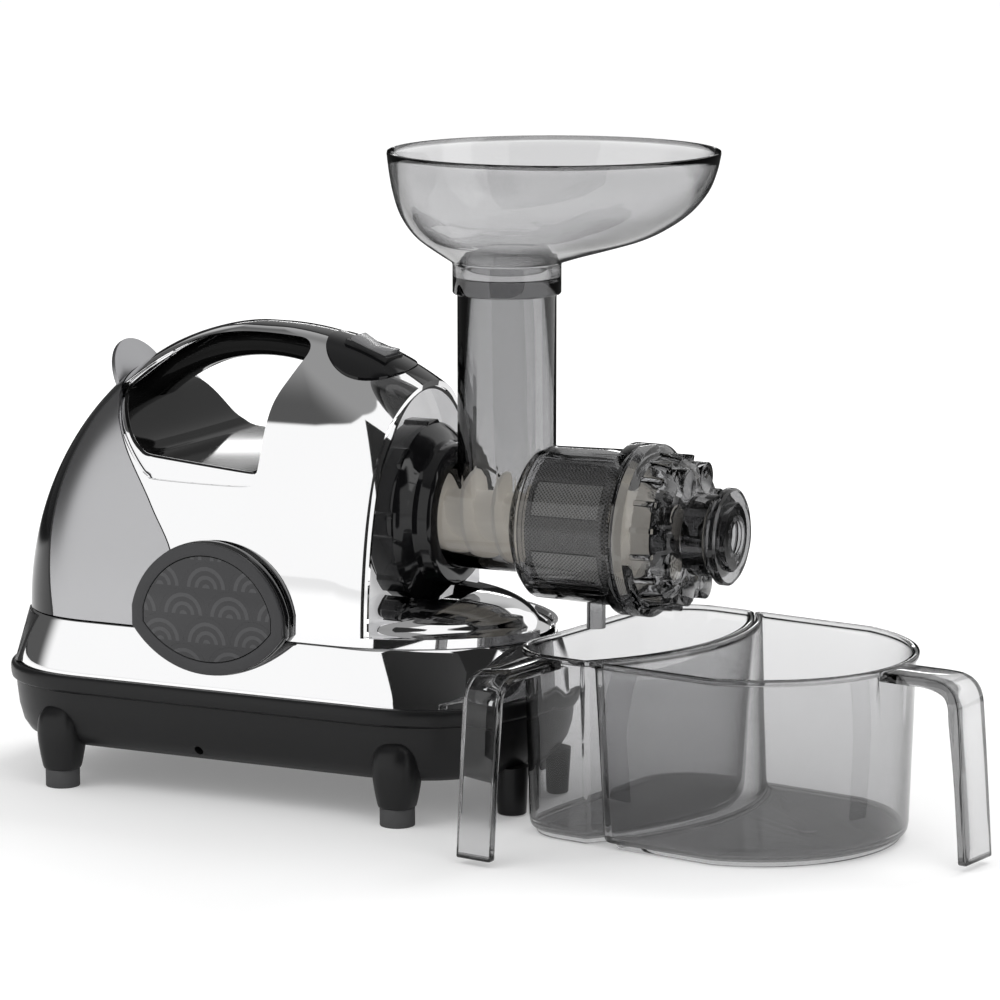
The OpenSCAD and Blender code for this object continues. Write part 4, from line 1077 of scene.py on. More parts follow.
@dataclass
class Housing:
    """The chromed shells, the ridge, the rear cover and the cowl."""

    wall: float = 2.5
    spine_half: float = 9.0
    hinge: Point = (-262.0, SEAM_Z)
    band_edge: list[Point] = field(default_factory=lambda: [
        (66, -4), (65.4, 8), (62.6, 28), (58, 49), (52, 71), (46, 90), (41, 102), (36.5, 114), (31, 126), (20, 138)])

    def build(self) -> None:
        """Builds all pieces of the housing."""
        for name, side in (("housing_left", -1), ("housing_right", 1)):
            self.shell(name, side)
        self.spine()
        self.cover()
        self.cowl()
        self.deck()

    def shell(self, name: str, side: int) -> None:
        """Builds one half of the chromed shell.

        Args:
            name: The CAD node that it stands for.
            side: -1 for the near half, 1 for the far one.
        """
        obj = to_object(DOME.shell(0.0, self.wall, 0.25), name + "_shell")
        near, far = sorted(((self.spine_half + 0.15) * side, FAR * side))
        carve(obj, [slab((-500, near, 0), (500, far, FAR))], Cut.COMMON)
        carve(obj, [behind_edge(0.4), through([p[:2] for p in hand_hole()]), throat(0),
                    prism(switch_hole(22.3, 27.3), SEAM_Z + 90, FAR)])
        place_domed(obj, 0.45, (0.0, self.wall), Look.chrome_shell, "base", name)

    def spine(self) -> None:
        """Builds the black strip along the ridge."""
        obj = to_object(DOME.shell(-0.4, self.wall, 60.5), "spine_ridge")
        carve(obj, [slab((-500, -self.spine_half, 0), (500, self.spine_half, FAR))], Cut.COMMON)
        carve(obj, [behind_edge(0.4), throat(0), prism(switch_hole(22.3, 27.3), SEAM_Z + 90, FAR)])
        place_domed(obj, 0.4, (-0.4, self.wall), Look.black_gloss, "base", "spine_strip")

    def band_space(self, grow: float) -> Solid:
        """Builds the space of the black band, as it shows from behind, as a cutting tool.

        Args:
            grow: Distance that it is widened.

        Returns:
            The space.
        """
        edge = smooth_path([(y, SEAM_Z + z) for y, z in self.band_edge]
                           + [(self.spine_half, SEAM_Z + 145)], 5) + [(self.spine_half, SEAM_Z + 172)]
        region = [(-y - grow, z) for y, z in edge] + [(y + grow, z) for y, z in reversed(edge)]
        return prism(region, -FAR, -60, END)

    def barrel(self, radius: float, low: float, high: float) -> Solid:
        """Builds a rod about the cover's hinge line."""
        return prism(ellipse(*self.hinge, radius, radius, 32), low, high, SIDE)

    def cover(self) -> None:
        """Builds the rear cover and its black band."""
        skin = to_object(DOME.shell(0.0, self.wall, 0.62), "rear_cover_skin")
        carve(skin, [behind_edge(-0.4)], Cut.COMMON)
        carve(skin, [self.band_space(0.05)])
        place_domed(skin, 0.45, (0.0, self.wall), Look.satin_steel, "cover", "rear_cover")
        band = to_object(DOME.shell(-0.4, self.wall, 0.62), "cover_band_strip")
        carve(band, [behind_edge(-0.4), self.band_space(0.0)], Cut.COMMON)
        knuckles = []
        for low, high in ((-26.0, -13.4), (13.4, 26.0)):
            knuckles.append(self.barrel(3.4, -high, -low))
            knuckles.append(slab((-264, low, SEAM_Z + 1.5), (-261, high, SEAM_Z + 5.5)))
        carve(band, [slab((-274, -13, SEAM_Z - 10), (-250, 13, SEAM_Z + 4.5))])
        carve(band, knuckles, Cut.JOIN)
        carve(band, [self.barrel(1.66, -45, 45)])
        place_domed(band, 0.35, (-0.4, self.wall), Look.black_gloss, "cover", "cover_band")

    def cowl(self) -> None:
        """Builds the chromed wall behind the drum, and its plain face, which glows with painted light."""
        inset, foot = self.wall + 0.3, SEAM_Z + 4.6
        obj = to_object(DOME.shell(inset, inset + 2.0, 4.6), "front_cowl_wall")
        carve(obj, [slab((-62, -200, 0), (-45, 200, FAR))], Cut.COMMON)
        rise = DOME.ridge_z(-60) - 4 - foot
        heights = [foot + rise * math.sin(math.radians(90 * i / 120)) for i in range(121)]
        half = [(DOME.half_at(-60.5, z, inset + 0.4), z) for z in heights]
        half = [p for p in half if p[0] > 0.5]
        carve(obj, [bore(41.5, 0), throat(-2)])
        place_domed(obj, 0.4, (inset, inset + 2.0), Look.chrome_shell, "base", "front_cowl")
        face = to_object(prism(half + [(-y, z) for y, z in reversed(half)], -62, -59.6, END), "front_cowl_face")
        carve(face, [bore(41.5, 0)])
        soften(face, 0.4)
        # The face's finish has painted light: it glows.
        SHOP.place(face, Look.silver_paint, "base", ("front_cowl",), slot="chrome_shell", sharp=32)

    def deck(self) -> None:
        """Builds the low chromed bulge under the drum."""
        levels = smooth_path([(2, 0), (5.5, 6), (11, 11), (16, 20), (18.8, 32), (20, 44)], 8)
        plan, foot = DOME.plan(), Vector((DOME.axis, 0, SEAM_Z))
        outer, inner = (loft([[foot + Vector((*plan.at(t, 2.8 + inset + deep), z - deep)) for t in turns(240)]
                              for z, inset in levels]) for deep in (0.0, 2.0))
        obj = to_object(outer, "front_cowl_deck")
        carve(obj, [inner])
        carve(obj, [slab((-62, -200, 0), (300, 200, FAR))], Cut.COMMON)
        carve(obj, [bore(48.2, -18)])
        soften(obj, 0.4)
        SHOP.place(obj, Look.chrome_shell, "base", ("front_cowl",), sharp=28)


@dataclass
class Grip:
    """The carrying handle's grip and the hand opening's liner."""

    half: float = 14.5
    drop: float = 17.0
    middle: Point = (-150.0, SEAM_Z + 107.0)

    def build(self) -> None:
        """Builds the grip, the liner and the two lips."""
        self.grip()
        self.well()

    def grip(self) -> None:
        """Builds the grip under the ridge, with rounded edges."""
        rows = []
        for i in range(49):
            x = -207.5 + 108 * i / 48
            top = DOME.ridge_z(x) - 3.2
            reach = 1 - ((x - DOME.axis - 3) / (DOME.rear - self.drop)) ** 2
            low = min(SEAM_Z + (DOME.height - self.drop) * math.sqrt(max(0.0, reach)), top - 4)
            row = []
            for t in turns(64):
                across, up = power(math.cos(math.tau * t), 0.55), power(math.sin(math.tau * t), 0.62)
                drape = 0.0 if up < 0 else (across * self.half) ** 2 * 0.012
                row.append(Vector((x, across * self.half, (low + top) / 2 + (top - low) / 2 * up - drape)))
            rows.append(row)
        obj = to_object(loft(rows), "handle_grip_bar")
        carve(obj, [behind_edge(0.6), prism(switch_hole(23.0, 28.0), SEAM_Z + 60, FAR)])
        SHOP.place(obj, Look.well_gloss, "base", ("handle_grip",), slot="black_satin", sharp=40)

    def well(self) -> None:
        """Builds the liner through the housing and the chromed lips at its two ends."""
        edge = []
        for x, z, dx, dz, deep in hand_hole(6):
            out = Vector((x - self.middle[0], z - self.middle[1])).normalized()
            edge.append((x, z, dx, dz, deep, DOME.half_at(x, z, 2.8) - 0.1, out.x, out.y))

        def lip(side: int, k: float, back: float) -> list[Vector]:
            """Gives one outline of a lip.

            Args:
                side: -1 for the near lip, 1 for the far one.
                k: Place between the shell's skin (0) and the liner (1).
                back: Distance behind the lip's face.

            Returns:
                The outline.
            """
            along = k ** 0.85
            return [Vector((x + dx * along + ox * back, side * max(1.0, y - k * deep - back * 0.7),
                            z + dz * along + oz * back)) for x, z, dx, dz, deep, y, ox, oz in edge]

        def liner(k: float, wide: float) -> list[Vector]:
            """Gives one outline of the liner.

            Args:
                k: Place between the near lip (-1) and the far one (1).
                wide: Distance outside the opening.

            Returns:
                The outline.
            """
            row = []
            for x, z, dx, dz, deep, y, ox, oz in edge:
                swell = wide + 2.5 * (1 - k * k) * min(1.0, deep / 14)
                row.append(Vector((x + dx + ox * swell, k * (max(1.0, y - deep) + 0.4), z + dz + oz * swell)))
            return row

        curve, spans = [i / 8 for i in range(9)], [-1 + i / 12 for i in range(25)]
        for side, name in ((-1, "opening_lip_near"), (1, "opening_lip_far")):
            rows = [lip(side, k, 0.0) for k in curve] + [lip(side, k, 1.5) for k in reversed(curve)]
            SHOP.place(to_object(loft(rows, ring=True), name), Look.chrome_shell, "base", sharp=45)
        rows = [liner(k, 0.1) for k in spans] + [liner(k, 1.9) for k in reversed(spans)]
        obj = to_object(loft(rows, ring=True), "hand_well_liner")
        SHOP.place(obj, Look.well_gloss, "base", ("hand_well",), slot="black_satin", sharp=45)


@dataclass
class Base:
    """The tray, its legs and the chromed skirt."""

    tray: Outline = Outline(274, 28, 81, 70, 74, 2.6, 2.4)
    # Sections as height and inset, or as height and radius.
    levels: list[Point] = field(default_factory=lambda: [
        (21, 19), (22.2, 13), (25, 9), (30, 6), (38, 4), (47, 3.0), (51.2, 2.7), (51.9, 1.5), (52.8, 0.6), (54.5, 0.2),
        (58, 0), (59.4, 0.35), (60.1, 0.9), (60.42, 1.7),
        (60.42, 3.2), (60.1, 3.9), (53.48, 3.9), (53.4, 6.7), (49, 8.5), (30, 14), (25, 19), (23.5, 23)])
    leg: list[Point] = field(default_factory=lambda: [
        (9.5, 8.2), (10.1, 9.0), (14, 9.9), (20, 10.9), (27, 11.7), (33, 11.6), (38, 10.4), (42, 7.5), (44, 4)])
    front_leg: list[Point] = field(default_factory=lambda: [(0.5, 6.8), (1.0, 7.4), (14, 8.0), (25, 8.5)])

    def build(self) -> None:
        """Builds the pieces of the base."""
        self.body()
        self.skirt()

    def body(self) -> None:
        """Builds the tray with its legs, air slots and small inlet."""
        rows = [[Vector((*self.tray.at(t, inset), z)) for t in turns(240)] for z, inset in self.levels]
        obj = to_object(loft(rows), "base_tray_body")
        legs = [stack([(z, r, x) for z, r in smooth_path(self.leg, 4)], 48, side * 70, 0.72)
                for x in (-222.7, -27.0) for side in (-1, 1)]
        legs += [stack([(z, r, 14.7) for z, r in self.front_leg], 32, side * 24.4) for side in (-1, 1)]
        carve(obj, legs, Cut.JOIN)
        slots = [slab((-190 + 9 * i, -26, 18), (-186 + 9 * i, 26, 26)) for i in range(9)]
        eye, inlet = ellipse(-139, 27.6, 2.4, 2.4, 24), ellipse(30, 41, 7.3, 7.3, 40)
        carve(obj, slots + [prism(eye, 50, 90, SIDE), prism(inlet, -290, -258, END)])
        SHOP.place(obj, Look.black_satin, "base", ("base_tray",), sharp=30)

    def skirt(self) -> None:
        """Builds the chromed skirt from the tray to the foot of the housing."""
        plan, shift = DOME.plan(), Vector((DOME.axis, 0))

        def row(up: float, z: float, inset: float) -> list[Vector]:
            """Gives one outline, from the tray's (0) to the housing's (1)."""
            return [Vector((*Vector(self.tray.at(t, 4.2 + inset)).lerp(Vector(plan.at(t, inset)) + shift, up), z))
                    for t in turns(240)]

        levels = [(0.0, 53.6)] + [(i / 14, 61 + 26.7 * (i / 14) ** 0.8) for i in range(15)]
        rows = [row(up, z, 0.0) for up, z in levels] + [row(up, z, 2.5) for up, z in reversed(levels)]
        obj = to_object(loft(rows, ring=True), "skirt_band")
        carve(obj, [slab((-272, -34, SEAM_Z - 8), (-252, 34, SEAM_Z + 8))])
        soften(obj, 0.5)
        SHOP.place(obj, Look.chrome_shell, "base", ("skirt",), sharp=28)


@dataclass
class Badge:
    """The two side badges."""

    x: float = -132.0
    z: float = 92.0
    half: float = 45.2
    rise: float = 44.6
    drop: float = 24.4
    back: float = 69.8
    front: float = 77.0

    def arch(self, inset: float, rise: float, sign: int) -> list[Point]:
        """Gives an arch over or under the badge's middle.

        Args:
            inset: Distance that it is drawn in.
            rise: Its height.
            sign: 1 for the upper arch, -1 for the lower one.

        Returns:
            Its points.
        """
        r, w = (self.half ** 2 + rise ** 2) / (2 * rise), self.half - 1 - inset
        middle = self.z + sign * (rise - r)
        return [(self.x + x, middle + sign * math.sqrt(max(0.0, (r - inset) ** 2 - x * x)))
                for x in (w * math.cos(math.pi * i / 40) for i in range(41))]

    def block(self, inset: float, low: float, high: float, place: Matrix) -> Solid:
        """Builds a block of the badge's outline: a steep arch over a flatter one, meeting in two blunt points."""
        outline = self.arch(inset, self.rise, 1) + self.arch(inset, self.drop, -1)[::-1]
        return prism(outline, self.front - low, self.front - high, place)

    def build(self) -> None:
        """Builds both frames and both plates."""
        deep = self.front - self.back
        # Name, inset, depths of the back, the front and the hollow, rounding and its spans, finish and CAD node.
        pieces = (("body", 0.0, deep, 2.6, 3.6, 0.4, 2, Look.black_gloss, "badge_frames"),
                  ("ring", 0.5, 2.5, 0.0, 4.0, 1.0, 3, Look.badge_frame, "badge_frames"),
                  ("plate", 7.3, 1.5, 0.3, 0.0, 0.35, 2, Look.badge_gray, "badge_plates"))
        for side, place in (("near", SIDE), ("far", SIDE @ Matrix.Scale(-1, 4, (0, 0, 1)))):
            for name, inset, low, high, hollow, width, segments, look, node in pieces:
                obj = to_object(self.block(inset, low, high, place), f"badge_{name}_{side}")
                if hollow:
                    carve(obj, [self.block(7.0, hollow, -2.0, place)])
                soften(obj, width, 40, segments)
                SHOP.place(obj, look, "base", (node,), slot="badge_gray", sharp=35)


@dataclass
class SwitchPanel:
    """The oval panel round the switch."""

    x: float = -73.5
    y: float = -4.0

    def build(self) -> None:
        """Builds the panel. The switch and its rocker are kept."""
        top = DOME.ridge_z(self.x)
        tilt = math.atan((DOME.height / DOME.front) ** 2 * (self.x - DOME.axis) / (top - SEAM_Z))
        obj = to_object(DOME.shell(-0.9, 2.5, 60), "switch_panel")
        carve(obj, [prism(switch_hole(22.0, 27.0, 96), SEAM_Z + 90, FAR)], Cut.COMMON)
        place = Matrix.Translation((self.x, self.y, top)) @ Matrix.Rotation(tilt, 4, "Y")
        carve(obj, [throat(3), prism([(-12.7, -9.2), (12.7, -9.2), (12.7, 9.2), (-12.7, 9.2)], -20, 20, place)])
        place_domed(obj, 0.5, (-0.9, 2.5), Look.black_gloss, "base", "switch_bezel")


@dataclass
class Hopper:
    """The clear bowl on the feeding tube."""

    top: float = 335.0
    radius: float = 83.5
    offset: float = 26.0
    wall: float = 2.2
    # The bowl's side as depth below the top, and shares of the radius and of the offset; then the collar's outer
    # and inner side as height and radius.
    levels: list[Triple] = field(default_factory=lambda: [
        (57, 0.335, 0), (53.5, 0.43, 0.12), (49, 0.56, 0.32), (44, 0.69, 0.53), (38, 0.79, 0.68), (30, 0.88, 0.82),
        (20, 0.945, 0.93), (10, 0.98, 0.98), (0, 1, 1)])
    collar: list[Point] = field(default_factory=lambda: [
        (262.3, 27.1), (262.8, 27.4), (270, 27.4), (276.4, 27.4), (277.4, 27.6)])
    socket: list[Point] = field(default_factory=lambda: [
        (279.6, 25.2), (278.8, 24.4), (277.4, 23.4), (275.0, 22.8), (270.6, 22.6), (270.3, 22.9), (270.3, 25.0),
        (270.0, 25.3), (262.4, 25.3), (262.0, 25.6), (262.0, 26.8)])

    def side(self, wall: float, end: float) -> list[Triple]:
        """Gives the bowl's side.

        Args:
            wall: Distance inside the skin.
            end: Distance below the top at which it ends.

        Returns:
            Rounds, as height, radius and X of the middle.
        """
        rows = [(self.top - d + wall, self.radius * r - wall, self.offset * o)
                for d, r, o in smooth_path(self.levels, 5)]
        return [p for p in rows if p[0] < self.top - end]

    def build(self) -> None:
        """Builds the bowl with its collar as one closed wall."""
        edge = self.radius - self.wall
        rim = [(self.top - 0.35, self.radius - 0.35, self.offset), (self.top, self.radius - 1.0, self.offset),
               (self.top, edge + 0.7, self.offset), (self.top - 0.5, edge + 0.15, self.offset)]
        rows = [(z, r, 0.0) for z, r in self.collar] + self.side(0.0, 0.9) + rim
        rows += self.side(self.wall, 1.2)[::-1] + [(z, r, 0.0) for z, r in self.socket]
        obj = to_object(stack(rows, 128, ring=True), "hopper_bowl")
        SHOP.place(obj, Look.smoke_bowl, "hopper", ("hopper",), slot="smoke_clear", sharp=50)


@dataclass
class Containers:
    """The two nesting containers with their strap handles."""

    at: Point = (62.0, 9.0)
    turn: float = -9.0
    height: float = 93.6
    half: float = 77.0
    draft: float = 3.0
    nest_r: float = 127.0
    nest_u: float = 53.0
    gap: float = 3.0
    corner: float = 30.0
    left: float = -23.0
    pulp_u: float = 77.5
    pulp_r: float = 79.5
    nub: Point = (168.8, -6.5)

    def frame(self) -> Matrix:
        """Gives the matrix from the pair's own frame to the machine's."""
        return Matrix.Translation((*self.at, 0)) @ Matrix.Rotation(math.radians(self.turn), 4, "Z")

    @staticmethod
    def arc(x: float, y: float, r: float, degrees: range) -> list[Point]:
        """Gives points of an arc."""
        return [(x + r * math.cos(math.radians(a)), y + r * math.sin(math.radians(a))) for a in degrees]

    @staticmethod
    def blunt(points: list[Point], corners: Sequence[int], size: float) -> list[Point]:
        """Rounds some corners of an outline.

        Args:
            points: The outline.
            corners: Numbers of its sharp points.
            size: Distance from each corner at which the rounding starts.

        Returns:
            The outline with 6 spans in place of each corner.
        """
        out: list[Point] = []
        for i, p in enumerate(points):
            if i not in corners:
                out.append(p)
                continue
            ends = []
            for q in (points[i - 1], points[(i + 1) % len(points)]):
                k = min(0.9, size / math.dist(p, q))
                ends.append([a + (b - a) * k for a, b in zip(p, q)])
            out += [tuple((1 - t) ** 2 * a + 2 * t * (1 - t) * c + t * t * b for a, c, b in zip(ends[0], p, ends[1]))
                    for t in (s / 6 for s in range(7))]
        return out

    def nested(self, points: list[Point], inset: float, nest: float, way: int, size: float) -> list[Point]:
        """Closes a plan with the arc on which the two containers nest.

        Args:
            points: The rest of the plan.
            inset: Distance that the plan is drawn in.
            nest: The arc's radius.
            way: 1 to run to the left of the pair, -1 to run back.
            size: Distance from the two corners at which their rounding starts, with no inset.

        Returns:
            The plan.
        """
        centre, reach, start, steps = self.nest_u - self.nest_r, math.asin((self.half - inset) / nest), len(points), 40
        points = points + [(centre + nest * math.cos(a), nest * math.sin(a))
                           for a in (way * (2 * reach * i / steps - reach) for i in range(steps + 1))]
        return self.blunt(points, (start, start + steps), max(1.2, size - inset))

    def juice_outline(self, inset: float) -> list[Point]:
        """Gives the juice container's plan.

        Args:
            inset: Distance that it is drawn in.

        Returns:
            The plan.
        """
        x, y, r = self.left + self.corner, self.half - self.corner, self.corner - inset
        points = self.arc(x, y, r, range(90, 181, 6)) + self.arc(x, -y, r, range(180, 271, 6))
        return self.nested(points, inset, self.nest_r - inset, 1, 3.4)

    def pulp_outline(self, inset: float) -> list[Point]:
        """Gives the pulp container's plan."""
        points = self.arc(self.pulp_u, 0.0, self.pulp_r - inset, range(-75, 76, 3))
        return self.nested(points, inset, self.nest_r + self.gap + inset, -1, 4.5)

    def levels(self) -> list[Point]:
        """Gives the wall's closed section, outer side first.

        Returns:
            Points as height and inset.
        """
        h = self.height
        outer = [(0.0, 4.4), (0.35, 3.5), (1.2, 3.05), (2.7, 3.0), (3.0, 2.6), (3.2, 1.6), (3.9, 0.7), (5.2, 0.2),
                 (7.5, 0.0), (30, 0), (60, 0), (h - 3.4, 0), (h - 3.0, -0.2), (h - 2.8, -0.9), (h - 2.4, -1.35),
                 (h - 0.9, -1.4), (h - 0.3, -1.1), (h, -0.5)]
        inner = [(h, 1.5), (h - 0.3, 2.0), (h - 0.9, 2.2), (60, 2.2), (30, 2.2), (9, 2.2), (6.6, 2.5), (5.0, 3.4),
                 (4.2, 5.0), (4.0, 7.0)]
        return [(z, i + self.draft * (1 - z / h)) for z, i in outer + inner]

    def handle(self, root: float, reach: float, turn: float, across: float, width: float) -> Piece:
        """Builds a strap handle.

        Args:
            root: Distance from the pair's origin at which it starts.
            reach: Distance at which its foot ends.
            turn: Direction of the handle in the pair's frame, in degrees.
            across: Distance of its middle line to the left of that direction.
            width: Width of the strap.

        Returns:
            The handle, which overlaps the container's wall.
        """
        top, t, length = self.height - 1, 5.0, reach - root
        knee = length - 6.0
        over = [(-1.5, top), (knee - 30, top), (knee - 18, top), (knee - 10, top - 0.8), (knee - 4, top - 4),
                (knee - 0.6, top - 10), (knee + 0.7, top - 20), (knee + 3.3, 40), (length, 3)]
        under = [(length - t, 3), (knee - 1.9, 40), (knee - t - 0.5, top - 22), (knee - t - 1.5, top - 12),
                 (knee - 10, top - t - 2.4), (knee - 19, top - t), (knee - 30, top - t), (-1.5, top - t)]
        direction = Matrix.Rotation(math.radians(turn), 4, "Z")
        place = self.frame() @ direction @ Matrix.Translation((root, across, 0)) @ SIDE
        strap = to_object(prism(smooth_path(over, 4) + smooth_path(under, 4), -width / 2, width / 2, place), "strap")
        soften(strap, 1.1, 40, 3)
        return strap

    def build(self) -> None:
        """Builds both containers."""
        far = self.pulp_u + self.pulp_r
        for name, outline, body, handle in (
                ("juice_container", self.juice_outline, "juice", (self.half - 2, self.half + 61, -90, 3.0, 20.0)),
                ("pulp_container", self.pulp_outline, "pulp", (far - 2, far + 48, 0, 0.0, 26.0))):
            place = self.frame()
            rows = [[place @ Vector((*p, z)) for p in outline(inset)] for z, inset in self.levels()]
            obj = to_object(loft(rows), name + "_walls")
            strap = self.handle(*handle)
            carve(strap, [prism(outline(2.6), 6, self.height + 2, place)])
            carve(obj, [to_bmesh(strap)], Cut.JOIN)
            if body == "pulp":
                carve(obj, [prism(ellipse(*self.nub, 4.5, 4.5, 32), 3.0, 4.9)], Cut.JOIN)
            SHOP.place(obj, Look.smoke_box, body, (name,), slot="smoke_clear", sharp=38)


@dataclass
class Auger:
    """The auger: a stepped core and two runs of flights."""

    back: float = -42.4
    front: float = 88.0

    def build(self) -> None:
        """Builds the auger."""
        core = [(self.back, 8.6), (self.back, 22.4), (self.back + 0.6, 23.0), (self.back + 3.4, 23.0),
                (self.back + 4, 22.4), (self.back + 4.4, 13.6), (self.back + 5.4, 13), (21, 13), (23, 14.2), (70, 22),
                (71.5, 21.4), (79, 12.6), (80.5, 9.4), (81, 9), (self.front - 0.5, 9), (self.front, 8.5),
                (self.front, 3.9), (76, 3.9), (76, 2.0), (-24.4, 2.0), (-24.4, 8.6)]
        obj = to_object(turned(core), "auger_screw")
        carve(obj, [self.flight(12, 23.0, self.back + 6, 17), self.flight(14, 28.9, 25, 70)], Cut.JOIN)
        SHOP.place(obj, Look.auger_resin, "auger", ("auger",), sharp=40)

    @staticmethod
    def flight(core: float, tip: float, start: float, end: float, rounds: int = 3, steps: int = 96) -> Solid:
        """Winds one flight about the drum's axis.

        Args:
            core: Radius of the core that it stands on.
            tip: Radius of its tip.
            start: X of its start.
            end: X of its end.
            rounds: Number of rounds.
            steps: Spans over all rounds.

        Returns:
            The flight.
        """
        bm = bmesh.new()
        profile = [(-1.6, core - 1.5), (-1.1, tip - 0.5), (-0.5, tip), (0.5, tip), (1.1, tip - 0.5), (1.6, core - 1.5)]
        face = bm.faces.new([bm.verts.new((start + x, 0, DRUM_Z + r)) for x, r in profile])
        bmesh.ops.spin(bm, geom=[face], cent=(0, 0, DRUM_Z), axis=(1, 0, 0),
                       dvec=((end - start) / steps, 0, 0), angle=math.tau * rounds, steps=steps)
        bmesh.ops.remove_doubles(bm, verts=bm.verts, dist=0.0005)
        bmesh.ops.recalc_face_normals(bm, faces=bm.faces)
        return bm


# The CAD nodes that stay, with the width of their edges' rounding in millimetres.
KEPT = {
    Look.smoke_drum: (("drum", 0.35),),
    Look.smoke_dark: (("end_cap", 0.4),),
    Look.smoke_deep: (("pulp_nozzle", 0.35),),
    Look.black_gloss: (("lock_ring", 0.7),),
    Look.strainer_gray: (("strainer_frame", 0.3),),
    Look.mesh_steel: (("strainer_mesh", 0.0),),
    Look.rocker_gray: (("power_rocker", 0.5),),
    Look.rubber: (("foot_pads", 0.5), ("cord_gland", 0.3), ("drum_gasket", 0.3)),
    Look.plated_steel: (("foot_screws", 0.2), ("motor_can", 0.4), ("motor_bearings", 0.2), ("motor_shaft", 0.3),
                        ("gearbox_screws", 0.2), ("drive_shaft", 0.3), ("tray_screws", 0.2), ("hinge_pin", 0.2),
                        ("auger_socket", 0.2), ("auger_tip", 0.2)),
    Look.black_satin: (("rear_guard", 0.0), ("bulkhead", 0.0), ("drum_seat", 0.4), ("cover_hinge", 0.4),
                       ("switch_body", 0.5)),
    Look.tab_gray: (("cover_tab", 0.5),),
    Look.core_steel: (("stator_core", 0.2), ("rotor_core", 0.2)),
    Look.winding: (("stator_windings", 0.8),),
    Look.cast_alloy: (("motor_brackets", 0.4), ("gearbox_housing", 0.4), ("gearbox_cover", 0.3),
                      ("run_capacitor", 0.5)),
    Look.gear_resin: (("cooling_fan", 0.1), ("idler_gear", 0.1), ("output_gear", 0.1)),
    Look.bush: (("motor_pinion", 0.1), ("gearbox_bushes", 0.2)),
    Look.board: (("circuit_board", 0.2),),
}


# ---------------------------------------------------------------- stage


